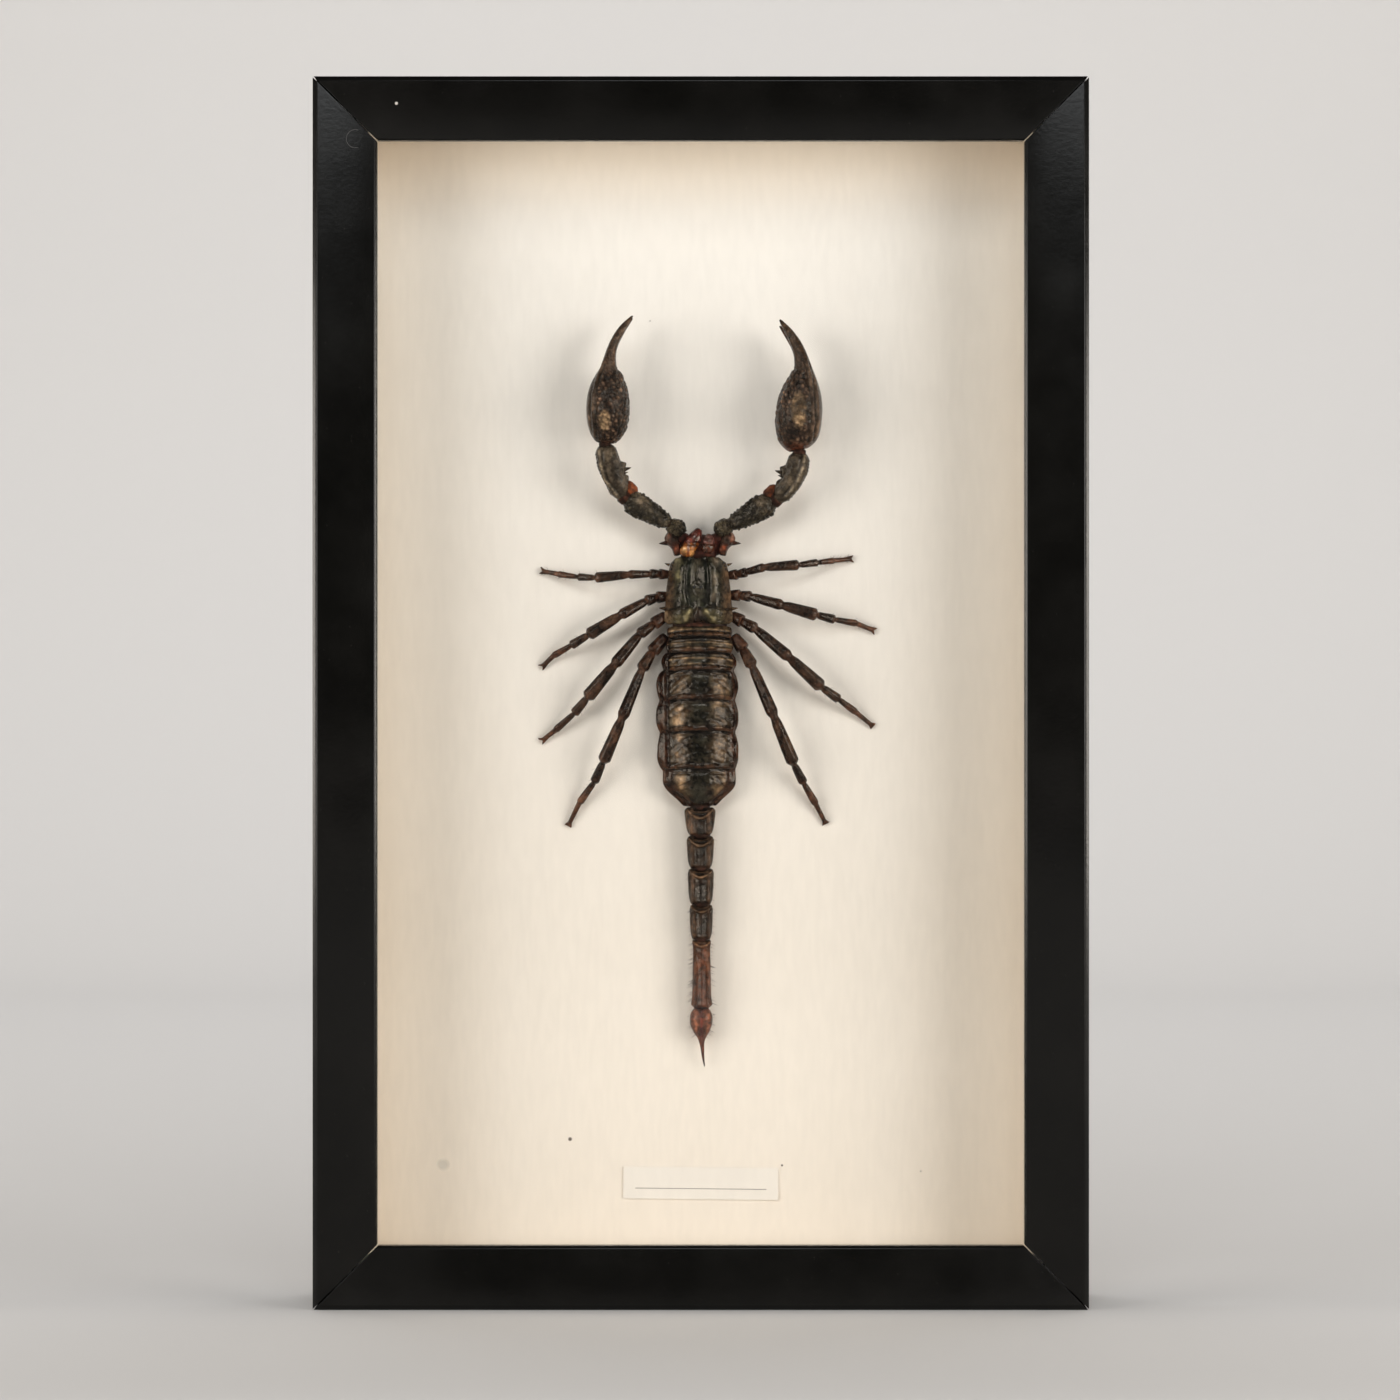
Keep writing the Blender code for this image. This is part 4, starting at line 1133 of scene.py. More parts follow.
across, along, lift, facing = read(abdomen)
index, from_front, from_rear = plates(across, along)
plate_zone = ease(lift, 5.4, 6.2) * upward(facing, 0.0, 0.3)
last = index == 6
hairline = bell(from_rear - 1.5, 0.2) * ~last
step = (bell(from_front, 0.16) + bell(from_rear, 0.14)) * ~((index == 0) & (from_front < 0.8))
step = step * ~(last & (from_rear < 2))
front_line = bell(from_front - 0.85, 0.16) * (index > 0)
wrinkles = ripple(across * 0.45, along * 5.5, 0, 5) * ease(index, 1.5, 3)
wrinkles = wrinkles + 0.5 * ripple(across * 0.9, along * 9, 0, 8)
creased = np.clip(1 - 4.5 * np.abs(ripple(across * 0.4, (along + 0.06 * across**2) * 4.2, 0, 12)), 0, 1)
creased = creased * ease(np.abs(across + 0.3), 0.8, 2.6) * ease(index, 0.5, 2)
# Fine ridges across the front plates; the paint below gives them a painted glint.
GLINT_RIDGE_LINES = (-0.95, -2.1, -3.95, -5.2, -7.7, -9.1)
glint_ridges = sum(bell(along + 0.3 * np.abs(across / 6) ** 3 - line, 0.2) for line in GLINT_RIDGE_LINES) * (index < 3)
pit = np.hypot(across + 5.2, along + 21.1)
keels = bell(np.abs(across) - 2.2, 0.35) * last * ease(along, -41.5, -38.0)
roll = bell(from_rear - 0.75, 0.6) * ~last
height = 0.24 * roll - 0.14 * hairline - 0.4 * step - 0.12 * front_line + 0.07 * wrinkles + 0.1 * keels
height = height - 0.18 * creased + 0.09 * glint_ridges + 0.12 * bell(pit - 0.6, 0.2) - 0.14 * bell(pit, 0.4)
side = 1 - ease(lift, 4.8, 6.0)
waves = np.sin(lift * 3.4 + 0.7 * np.sin(along * 0.9))
folds = waves * 0.12 + ripple(along * 2.2, lift * 2.0, across, 6) * 0.12
crease = along_line(across, along, ((-7.7, -5.0), (-7.8, -18.0), (-7.6, -33.0)), 0.3)
height = plate_zone * (height + 0.05 * ripple(across * 1.2, along * 3.0, 0, 16))
raise_by(abdomen, height + side * folds - 0.45 * crease * upward(facing, 0.1, 0.5))
print("abdomen has", len(abdomen.data.vertices), "points")

# %% [markdown]
# The colours follow the same edges: dark green-black along the middle, brown towards the flanks with a
# painted highlight over them, painted glints on the fine ridges, red-brown on the borders, dark joint
# lines at the steps that are darkened further as painted shade, painted shade in the creases and the
# hairlines, and maroon on the side skin with painted shade in its folds.

# %% Paint the abdomen
# Dark joint lines at the plate edges, made darker still as painted shade in the steps.
dark_edge = np.maximum(bell(from_rear, 0.45), bell(from_front, 0.38)) * ~(last & (from_rear < 2))
dark_edge = np.clip(1.25 * dark_edge, 0, 1) * ((index > 0) | (from_front > 1.5))
# Painted highlight: brown flanks, with a golden sheen painted over their crowns.
brown_flank_and_sheen = bell(np.abs(across) - 4.9, 1.9)
flank_highlight = bell(np.abs(across) - 4.9, 1.2) * ease(index, 1.5, 3)
mottle = 0.5 + 0.5 * ripple(across * 1.7, along * 2.3, 0, 9)
paint(abdomen, tint(
    (0.014, 0.014, 0.011),
    (brown_flank_and_sheen * 0.8, (0.07, 0.05, 0.03)),
    (flank_highlight * ease(mottle, 0.35, 0.65) * 0.75, (0.17, 0.13, 0.09)),
    (glint_ridges * (0.4 + 0.45 * ease(np.abs(across), 1.2, 2.6)), (0.15, 0.115, 0.078)),
    # Painted shade in the creases; the hairline, step and front line below are darkened as painted shade
    # too.
    (creased * 0.85, (0.016, 0.01, 0.007)),
    (roll * 0.85, (0.032, 0.016, 0.009)),
    (hairline * 0.85, (0.01, 0.007, 0.005)),
    (dark_edge, (0.007, 0.005, 0.004)),
    (front_line * 0.6, (0.012, 0.009, 0.007)),
    (1 - plate_zone, (0.027, 0.014, 0.009)),
    (side * mottle * 0.5, (0.05, 0.029, 0.019)),
    # Painted shade in the troughs of the side folds and in the long crease.
    (side * bell(waves + 1, 0.5) * 0.7, (0.01, 0.005, 0.004)),
    (crease, (0.012, 0.006, 0.005)),
))
hand_over(abdomen, "body_shell", body_shell, "abdomen")

# %% [markdown]
# ## Tail
# Five ringed segments and the sting bulb. Each segment is a short keeled barrel: an arched rim at its
# front, two toothed keels along its back, a trough between them and flared rear corners. The last
# segment and the bulb are thinner shelled, and so redder. The relief is one function of how far along
# and how far across a point lies on its own segment.

# %% Rims, keels and troughs
TAIL = (
    (-42.9, -49.3, 3.4), (-49.6, -57.0, 3.25), (-57.3, -65.5, 3.1), (-65.8, -73.8, 2.75),
    (-74.1, -90.0, 2.35),
)
RIM_SAGS = (2.3, 2.1, 1.8, 1.55, 1.3)
REDDENED = (0.0, 0.0, 0.0, 0.08, 1.0)
KEEL = 0.62
DARK_TAIL = (0.017, 0.011, 0.008)
RED_TAIL = (0.07, 0.031, 0.018)


def tail_zones(across, along, facing, number):
    """Where points lie on their segment: how far back and across it, on its top, and on three bands.

    The bands are a bright rim that sags like a smile, the hollow ahead of it and the dip behind it.
    """
    start, end, half = TAIL[number - 1]
    u = (across - 0.1 * (number - 1)) / half
    back = start - along
    sag = RIM_SAGS[number - 1] * (1 - 1.15 * u**2)
    within = 1 - ease(np.abs(u), 0.8, 0.92)
    rim = bell(back - sag - 0.25, 0.22) + 0.6 * bell(back - 0.5 * sag - 0.1, 0.14)
    hollow, behind = ease(sag - back, 0.0, 0.4), bell(back - sag - 0.85, 0.3)
    top = upward(facing, -0.1, 0.3)
    return back / (start - end), u, top, rim * within, hollow * within, behind * within


tail_pieces = {}
for number, (start, end, half) in enumerate(TAIL, start=1):
    length = start - end
    segment = softened_copy(f"tail_segment_{number}", f"tail_ring_{number}", 3, 5)
    across, along, lift, facing = read(segment)
    share, u, top, rim, hollow, behind = tail_zones(across, along, facing, number)
    keel = bell(np.abs(u) - KEEL, 0.13) * ease(share, 0.16, 0.4)
    trough = bell(u, 0.33) * ease(share, 0.3, 0.5) * (1 - ease(share, 0.9, 1.0))
    twin = bell(np.abs(u) - 0.17, 0.1) * bell(share - 0.6, 0.25) * (number < 3)
    side_keel = bell(lift - np.median(lift) - 0.8, 0.35) * ease(np.abs(facing[:, 0]), 0.4, 0.8)
    height = top * (0.34 * rim - 0.45 * hollow - 0.24 * behind + 0.3 * keel - 0.2 * trough + 0.18 * twin)
    uneven = ripple(across * 3, along * 2.5, lift * 3, 20 + number)
    raise_by(segment, height + 0.14 * side_keel + 0.04 * uneven)
    chance = random.Random(number)
    spots = []
    for way in (-1, 1):
        for i in range(int(length * 1.5)):
            back = length * (0.2 + 0.75 * i / (length * 1.5))
            x = 0.1 * (number - 1) + way * KEEL * half
            for spot, normal in dropped(segment, x, start - back, 9):
                spots.append((spot, normal, chance.uniform(0.3, 0.5)))
    tail_pieces[number] = add_to(segment, plant(pebble, "keel_teeth", spots))
    print("teeth on segment", number, "-", len(spots))

# %% [markdown]
# The rim is painted the palest band, a painted highlight along its raised crest, and the hollow beside
# it is painted nearly black, as painted shade. The keels get a painted highlight too, and the dip and the
# trough get painted shade. Red comes in with the fourth ring and takes over on the fifth.

# %% Paint the tail
for number, segment in tail_pieces.items():
    across, along, lift, facing = read(segment)
    share, u, top, rim, hollow, behind = tail_zones(across, along, facing, number)
    red = REDDENED[number - 1]
    base = tuple(d + (r - d) * red for d, r in zip(DARK_TAIL, RED_TAIL))
    cloud = 0.5 + 0.5 * ripple(across * 2, along * 1.6, lift * 2, 26)
    paint(segment, tint(
        base,
        (ease(cloud, 0.45, 0.75) * 0.7 * (1 - red), (0.068, 0.045, 0.032)),
        # Painted shade in the hollow, the dip and the trough; painted highlight on the rim and on the
        # keels.
        (top * hollow * 0.95, (0.006, 0.004, 0.003)),
        (top * behind * 0.5, (0.012, 0.008, 0.006)),
        (top * rim * 0.9, (0.15, 0.105, 0.072)),
        (bell(np.abs(u) - KEEL, 0.14) * (0.6 - 0.3 * red), (0.1, 0.07, 0.052)),
        (bell(u, 0.3) * ease(share, 0.25, 0.45) * 0.6 * (1 - red), (0.008, 0.006, 0.005)),
        (ease(np.abs(u), 0.86, 0.95) * 0.4, (0.1, 0.07, 0.048)),
        (ease(share, 0.9, 1.0) * 0.5 * (1 - red), (0.04, 0.022, 0.015)),
        ((1 - ease(share, 0.0, 0.04)) * 0.8, (0.01, 0.007, 0.006)),
    ))
    hand_over(segment, "tail_shell", tail_shell, f"tail_segment_{number}")

# %% [markdown]
# The bulb ends in a bent sting. It is smoother than the rings, red-brown with a darker tip. It is swollen
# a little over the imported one, and its faint pits and its lengthwise furrow are pressed in the same way.

# %% Sting bulb
bulb = rounded_copy("telson", "sting_bulb", 3)
across, along, lift, facing = read(bulb)
pits = ripple(across * 4, along * 3, lift * 4, 31)
middle = 0.3 + (-along - 91) * 0.02
lines = bell(across - middle, 0.28) * ease(along, -98.6, -97.0) * upward(facing)
raise_by(bulb, 0.26 * ease(along, -97.8, -95.4) + 0.05 * pits - 0.16 * lines)
paint(bulb, tint(
    (0.064, 0.03, 0.019),
    (0.5 + 0.5 * pits, (0.085, 0.034, 0.019)),
    (bell(np.abs(across - middle) - 1.3, 0.5) * 0.6, (0.2, 0.095, 0.06)),
    (lines * 0.8, (0.07, 0.014, 0.01)),
    (ease(-along, 99.0, 101.5) * 0.8, (0.05, 0.018, 0.012)),
    (ease(-along, 102.0, 103.8), (0.02, 0.01, 0.008)),
    (1 - ease(-along, 90.4, 91.2), (0.02, 0.01, 0.008)),
))
hand_over(bulb, "tail_shell", tail_shell, "telson")

# %% [markdown]
# ## Walking legs
# Eight legs, each of seven runs that start narrow, swell and flare before the next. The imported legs
# hold those swellings, so they are only softened. What is added is what a lens sees: two tiny hooked
# claws at each foot, stiff bristles towards the foot, and colour that reddens at the joints and the toes.

# %% Where the legs' joints lie
LEG_LIFTS = (2.5, 3.3, 4.6, 7.2, 5.4, 3.5, 1.8, 0.8)
LEG_JOINTS = {
    "left_1": ((-7.3, 12.0), (-9.5, 12.1), (-11.6, 12.1), (-16.6, 11.9), (-24.7, 11.2), (-28.7, 11.4),
               (-33.4, 12.1), (-37.2, 12.9)),
    "left_2": ((-7.4, 6.9), (-10.1, 6.6), (-12.5, 5.8), (-18.6, 2.4), (-26.3, -2.3), (-30.3, -4.7),
               (-34.5, -7.1), (-37.2, -9.6)),
    "left_3": ((-7.8, 2.5), (-11.0, 0.3), (-14.1, -2.0), (-20.0, -9.2), (-26.6, -17.1), (-29.6, -20.7),
               (-34.1, -24.7), (-37.2, -27.1)),
    "left_4": ((-7.9, -2.4), (-11.3, -6.3), (-13.6, -10.2), (-18.3, -21.8), (-22.8, -32.2),
               (-24.9, -36.9), (-28.4, -41.8), (-30.9, -46.9)),
    "right_1": ((6.6, 11.8), (8.8, 12.0), (10.8, 12.5), (15.0, 13.6), (23.3, 14.2), (27.7, 14.8),
                (31.5, 15.3), (35.7, 15.7)),
    "right_2": ((6.7, 7.1), (9.4, 7.1), (11.8, 6.8), (19.3, 4.7), (27.5, 2.4), (31.7, 1.4), (36.9, 0.5),
                (41.0, -1.2)),
    "right_3": ((7.2, 2.5), (10.0, 0.9), (12.9, -0.7), (20.9, -7.5), (28.7, -14.6), (32.7, -17.4),
                (36.7, -20.4), (40.5, -23.5)),
    "right_4": ((7.9, -2.4), (10.2, -5.6), (12.2, -9.4), (17.3, -21.2), (22.1, -32.7), (24.4, -37.1),
                (27.3, -42.1), (29.5, -46.4)),
}


print("legs", len(LEG_JOINTS))

# %% Dress the legs
LEG_HAIRS = 46
legs = {}
for name, joints in LEG_JOINTS.items():
    leg = softened_copy(f"leg_{name}", f"walking_leg_{name}", 2, 2)
    across, along, lift, facing = read(leg)
    raise_by(leg, 0.09 + 0.04 * ripple(across * 2.5, along * 2.5, lift * 3, 40))
    foot = at(*joints[-1], LEG_LIFTS[-1])
    ahead = (foot - at(*joints[-2], LEG_LIFTS[-2])).normalized()
    aside = ahead.cross(Vector((0.0, 1.0, 0.0))).normalized()
    root = foot - ahead * 0.3 * MM
    claws = plant(thorn, "toe_claws", [
        (root + aside * way * 0.16 * MM, (ahead + aside * way * 0.7).normalized(), 1.15)
        for way in (-1, 1)
    ])
    chance = random.Random(name)
    spots = []
    for _ in range(LEG_HAIRS):
        share = 7.0 - 3.6 * chance.random() ** 1.3
        joint = min(int(share), 6)
        middle = at(*joints[joint], LEG_LIFTS[joint]).lerp(
            at(*joints[joint + 1], LEG_LIFTS[joint + 1]), share - joint)
        turn = chance.uniform(0, math.tau)
        out = (aside * math.cos(turn) + Vector((0, -1, 0)) * math.sin(turn)).normalized()
        lean = out * 0.6 + ahead * 0.7
        spots.append(on_skin(leg, middle + out * 2 * MM, lean, chance.uniform(0.55, 1.1), 0.05))
    legs[name] = add_to(leg, claws, plant(hair, "leg_hairs", spots))
print("bristles on each leg", LEG_HAIRS)

# %% [markdown]
# The paint asks how many runs from the hip a point lies: whole numbers are joints and get a paler ring.

# %% Paint the legs
for name, leg in legs.items():
    across, along, lift, facing = read(leg)
    place = follow(across, along, LEG_JOINTS[name])[1]
    at_joint = sum(bell(place - i, 0.13) for i in range(1, 7))
    toes = ease(place, 4.6, 6.2)
    paint(leg, tint(
        (0.018, 0.011, 0.008),
        (ease(ripple(across * 1.3, along * 1.3, lift * 2, 41), 0.0, 0.4) * 0.6, (0.048, 0.03, 0.021)),
        ((1 - ease(place, 0.6, 2.0)) * 0.8, (0.034, 0.018, 0.012)),
        (at_joint * 0.5, (0.056, 0.032, 0.023)),
        (toes * 0.8, (0.062, 0.032, 0.021)),
    ))
    hand_over(leg, "leg_shell", leg_shell, f"leg_{name}")

# %% [markdown]
# ## Claws
# The two hands stand on edge, so the camera looks down on their narrow side. Their skin is pebbled like
# grained leather, except along two smooth keels by the outer edge, and on the crown the pebbles are
# flattened a little and a dull bronze sheen is painted on, a painted highlight. A pebble is a cell: every
# point asks how far it lies from the middle of the nearest scattered spot and of the next one, and rises
# by the difference. Its top is painted lighter, as painted highlight, and where the two are equal it is
# painted dark, as painted shade in the gaps.

# %% Pebbled hands
HANDS = {
    "left": {"outer": -1, "sheen_patch": (-22.3, 47.7, 1.45, 2.5),
             "keel": ((-24.7, 43.6), (-25.1, 49.5), (-25.0, 54.0), (-24.0, 58.2), (-22.9, 60.8))},
    "right": {"outer": 1, "sheen_patch": (23.1, 50.2, 1.9, 4.6),
              "keel": ((26.0, 43.0), (26.6, 47.0), (26.4, 52.9), (25.8, 58.8), (25.0, 61.5))},
}
for side, facts in HANDS.items():
    hand = rounded_copy(f"claw_hand_{side}", f"claw_palm_{side}", 3)
    outer, keel = facts["outer"], facts["keel"]
    across, along, lift, facing = read(hand)
    up = upward(facing)
    ridge = along_line(across, along, keel, 0.3) * up
    rim = along_line(across - outer * 1.25, along, keel, 0.35) * up
    groove = along_line(across - outer * 0.62, along, keel, 0.26) * up
    inner_groove = along_line(across + outer * 0.6, along, keel, 0.26) * up
    keel_x = np.interp(along, *np.array(sorted((z, x) for x, z in keel)).T)
    on_palm = ease(along, 41.8, 43.8) * (1 - ease(along, 58.5, 61.5))
    on_palm = on_palm * ease((keel_x - across) * outer, 0.5, 1.1)
    pebbles = cell_field(across, along, lift, 1.05)
    grain = cell_field(across, along, lift, 0.55)
    # Painted highlight: a dull bronze sheen on the crown, where the pebbles are also flattened.
    x, z, wide, long = facts["sheen_patch"]
    pale_patch = 1 - ease(np.hypot((across - x) / wide, (along - z) / long), 0.75, 1.1)
    pale_patch = pale_patch * upward(facing, 0.3, 0.7)
    height = on_palm * (0.32 * ease(pebbles, 0.0, 0.5) - 0.16)
    height = height + (1 - on_palm) * 0.05 * ease(grain, 0, 0.5) - 0.06 * pale_patch
    raise_by(hand, height + 0.16 * ridge + 0.1 * rim - 0.24 * groove - 0.2 * inner_groove)
    # Painted shade in the gaps between pebbles and in the grooves; painted highlight on the pebble tops and
    # the keels.
    gap = on_palm * (1 - ease(pebbles, 0.06, 0.36))
    fine_gap = 1 - ease(grain, 0.04, 0.3)
    paint(hand, tint(
        (0.036, 0.025, 0.019),
        (on_palm * ease(pebbles, 0.3, 0.7) * 0.8, (0.12, 0.088, 0.066)),
        (pale_patch * 0.9, (0.125, 0.1, 0.07)),
        (pale_patch * (1 - ease(pebbles, 0.0, 0.35)) * 0.8, (0.06, 0.042, 0.026)),
        ((1 - on_palm) * ease(along, 43, 45) * 0.4, (0.05, 0.037, 0.029)),
        (ease(along, 59, 63) * 0.9, (0.058, 0.041, 0.03)),
        (ease(along, 59, 63) * fine_gap * 0.7, (0.018, 0.012, 0.009)),
        (gap * (1 - pale_patch) * 0.9, (0.009, 0.006, 0.005)),
        (np.clip(groove + inner_groove, 0, 1) * 0.85, (0.01, 0.007, 0.005)),
        ((ridge + rim) * 0.35, (0.08, 0.062, 0.048)),
        (1 - ease(along, 41.6, 43.2), (0.05, 0.022, 0.014)),
    ))
    hand_over(hand, "claw_shell", claw_shell, f"claw_hand_{side}")

# %% [markdown]
# The movable finger lies behind the fixed one, nearer the board. Both are plain curved horns. A row of
# blunt teeth sits where they meet, on the movable one, which only shows from the side.

# %% Movable fingers with their teeth
FINGERS = {
    "left": ((-21.2, 62.0), (-20.6, 65.0), (-19.6, 67.6), (-18.2, 69.8), (-16.6, 71.4)),
    "right": ((23.9, 61.6), (23.0, 64.4), (21.9, 66.6), (20.6, 68.6), (19.4, 70.0)),
}
TEETH = 18
for side, route in FINGERS.items():
    finger = rounded_copy(f"claw_finger_{side}", f"claw_thumb_{side}", 3)
    across, along, lift, facing = read(finger)
    raise_by(finger, 0.03 * ripple(across * 4, along * 3, lift * 4, 60))
    spots = []
    for i in range(TEETH):
        x, z = on_route(route, i / (TEETH - 1))
        spots.append(on_skin(finger, at(x, z, 11.5), course(0, 0, 1), 0.34 if i % 4 else 0.5))
    add_to(finger, plant(pebble, "finger_teeth", spots))
    paint(finger, tint(
        (0.045, 0.03, 0.022),
        (ease(read(finger)[1], 66, 71), (0.05, 0.026, 0.018)),
    ))
    hand_over(finger, "claw_shell", claw_shell, f"claw_finger_{side}")

# %% [markdown]
# ## Arms
# Between the body and the claw lie four joints. The two long ones, femur and patella, are square in
# section. The femur is sown all over with grains and has a row of teeth along each edge. The patella is
# smoother, with a pale keel down its outer side and two thorns on the inner one. The short trochanter by
# the body is crowned with bumps. The rows are pebbles that follow a line beside the limb, each set down
# on the nearest skin.

# %% Where the arms' long limbs lie
ARMS = {
    "left": {
        "femur": ((-8.0, 24.4), (-11.0, 26.1), (-14.0, 27.9), (-16.8, 29.3)),
        "patella": ((-18.6, 31.0), (-20.2, 34.6), (-21.3, 37.6), (-22.2, 41.2)),
        "keel": ((-23.7, 40.8), (-23.3, 37.5), (-22.3, 34.0), (-19.6, 30.6)),
        "pale_patch": (-13.9, 29.3),
        "thorns": ((-17.9, 36.6, 1.7), (-17.9, 35.6, 1.2)),
    },
    "right": {
        "femur": ((7.9, 24.1), (11.0, 25.7), (13.9, 27.4), (16.6, 28.7)),
        "patella": ((18.7, 30.2), (21.4, 33.4), (22.7, 36.6), (23.4, 39.5)),
        "keel": ((24.6, 39.5), (24.0, 36.5), (22.9, 33.6), (20.2, 30.2)),
        "pale_patch": (14.3, 28.9),
        "thorns": ((18.9, 35.8, 1.7), (18.9, 34.8, 1.2)),
    },
}

print("arms", list(ARMS))

# %% [markdown]
# The same zones shape a limb and colour it, so they are measured in one place.

# %% Shape a long limb


def ridge_row(piece, route, offset, lift, count, size, chance):
    """Spots for pebbles beside a route, on the nearest skin."""
    spots = []
    for i in range(count):
        x, z = on_route(route, (i + chance.uniform(0.2, 0.8)) / count, offset)
        spots.append(on_skin(piece, at(x, z, lift), None, size * chance.uniform(0.75, 1.25)))
    return spots


def arm_zones(arm, facts, way, ridged, wide):
    """Where points lie on an arm: their measures, how far they face up, keel, groove and grain."""
    across, along, lift, facing = read(arm)
    up = upward(facing)
    keel = along_line(across, along, facts["keel"], wide) * up * ridged
    beside = along_line(across + way * 0.75, along, facts["keel"], max(wide, 0.3)) * up * ridged
    return across, along, lift, facing, up, keel, beside, cell_field(across, along, lift, 0.85)


def shape_arm(side, limb, facts, way):
    """Femur or patella with its keel, rows, grains and thorns."""
    femur = limb == "femur"
    arm = softened_copy(f"arm_{limb}_{side}", f"{limb}_{side}", 3, 6)
    *_, keel, beside, grain = arm_zones(arm, facts, way, not femur, 0.28)
    rough = 0.2 if femur else 0.05
    raise_by(arm, 0.16 + 0.24 * keel - 0.22 * beside + rough * (ease(grain, 0, 0.5) - 0.5))
    chance = random.Random(limb + side)
    lift, upper, lower, scattered = (7.4, 0.85, 0.6, 110) if femur else (9.6, 0.5, 0.4, 16)
    spots = []
    for offset in (-3.2, 3.2) if femur else (way * 3.2,):
        spots += ridge_row(arm, facts[limb], offset, lift + 2.2, 12, upper, chance)
        spots += ridge_row(arm, facts[limb], offset, lift - 0.4, 12, lower, chance)
    for _ in range(scattered):
        spots += ridge_row(arm, facts[limb], chance.uniform(-2.6, 2.6), lift + 5, 1, 0.42, chance)
    extras = [plant(pebble, "arm_grains", spots)]
    if not femur:
        inward = course(-way, 0.45, 0.2) * 2
        extras.append(plant(thorn, "arm_thorns", [
            on_skin(arm, at(x, z, 10.2), inward, size, 0.2) for x, z, size in facts["thorns"]
        ]))
    return add_to(arm, *extras)


print("limbs to shape", [f"{limb} {side}" for side in ARMS for limb in ("femur", "patella")])

# %% [markdown]
# The femur is dark olive, with one paler patch; its grain tops are painted lighter as painted highlight
# and the gaps between them dark as painted shade. The patella is paler, with a keel painted light as a
# painted highlight and a dark line beside it, painted shade in the groove there.

# %% Make the four long limbs


def paint_arm(arm, femur, facts, way):
    """The colours of a femur or a patella."""
    across, along, lift, facing, up, keel, beside, grain = arm_zones(arm, facts, way, not femur, 0.34)
    cloud = 0.5 + 0.5 * ripple(across * 1.2, along * 1.2, lift, 71)
    x, z = facts["pale_patch"]
    pale_patch = bell(np.hypot(across - x, along - z), 1.5) * up * femur
    paint(arm, tint(
        (0.024, 0.022, 0.016) if femur else (0.036, 0.031, 0.025),
        (ease(cloud, 0.5, 0.85) * 0.6, (0.085, 0.073, 0.058)),
        # Painted highlight on the grain tops, and painted shade in the gaps between them.
        (ease(grain, 0.3, 0.7) * (0.5 if femur else 0.2), (0.06, 0.054, 0.042)),
        ((1 - ease(grain, 0.04, 0.32)) * (0.8 if femur else 0.25), (0.009, 0.008, 0.006)),
        (pale_patch * 0.75, (0.12, 0.105, 0.085)),
        # Painted highlight along the keel, and painted shade in the groove beside it.
        (keel * 0.65, (0.15, 0.135, 0.11)),
        (beside * 0.7, (0.012, 0.01, 0.008)),
        ((facing[:, 2] < 0.1) * 0.5, (0.035, 0.02, 0.014)),
    ))


for side, facts in ARMS.items():
    way = -1 if side == "left" else 1
    for limb in ("femur", "patella"):
        arm = shape_arm(side, limb, facts, way)
        paint_arm(arm, limb == "femur", facts, way)
        hand_over(arm, "arm_shell", claw_shell, f"arm_{limb}_{side}")

# %% [markdown]
# The arm's root is two short joints. The coxa spreads sideways into a collar: its flank is flesh brown, a
# thorn points out from its corner, and orange shows between it and the head. Three proportional pulls
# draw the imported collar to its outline, as clay would be: up at its top, narrower, in at its corner.

# %% Collars at the arms' roots


def dress_coxa(side, way):
    """The first joint of an arm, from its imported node."""
    coxa = softened_copy(f"arm_coxa_{side}", f"coxa_{side}", 3, 6)

    def outward(co):
        return (co.x / MM - SPECIMEN_X) * way

    def height_on_body(co):
        return co.z / MM - SPECIMEN_Z

    pull(coxa, lambda co: height_on_body(co) > 19.4, 1.5, shift=(way * 0.5, 0.0, 0.9))
    pull(coxa, lambda co: outward(co) > 6.6, 2.5, scale=(0.84, 1.0, 1.1), about=at(way * 6.0, 19.0, 4.0))
    corner = (-way * 1.1, 0.0, 0.0)
    pull(coxa, lambda co: height_on_body(co) < 17.9 and outward(co) > 6.0, 2.0, shift=corner)
    across, along, height, facing = read(coxa)
    relief = 0.2 * bell(along - 19.0, 0.5) - 0.25 * bell(along - 18.2, 0.35)
    raise_by(coxa, upward(facing) * relief + 0.05 * ripple(across * 3, along * 3, height, 73))
    collar_thorns = plant(thorn, "coxa_thorn", [
        on_skin(coxa, at(way * 8.4, 19.2, 5.2), course(way, -0.02, 0.1) * 3, 1.9, 0.35),
        on_skin(coxa, at(way * 8.0, 22.6, 5.0), course(way, 0.6, 0.1) * 3, 0.8, 0.2),
    ])
    add_to(coxa, collar_thorns)
    across, along, height, facing = read(coxa)
    paint(coxa, tint(
        (0.036, 0.014, 0.009),
        (ease(across * way, 6.9, 7.6) * ease(along, 19.6, 20.4), (0.1, 0.06, 0.046)),
        (ease(7.1 - across * way, 0, 0.6) * ease(along, 19.0, 19.8), (0.02, 0.013, 0.01)),
        (bell(along - 19.1, 0.5) * 0.9, (0.016, 0.009, 0.007)),
        (bell(np.hypot(across - way * 5.7, along - 18.2), 0.55) * 0.6, (0.16, 0.06, 0.034)),
        (bell(np.hypot(across - way * 6.6, along - 18.0), 0.6) * 0.6, (0.11, 0.035, 0.02)),
        ((1 - ease(along, 16.4, 17.2)) * 0.8, (0.02, 0.012, 0.008)),
    ))
    hand_over(coxa, "arm_shell", claw_shell, f"arm_coxa_{side}")


print("collars to make", len(ARMS))

# %% [markdown]
# The second joint, the trochanter, is a dark knob with coarse bumps along its crown. It is scaled up a
# little about its middle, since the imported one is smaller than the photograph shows.

# %% Knobs at the arms' roots
KNOB_BUMPS = 34


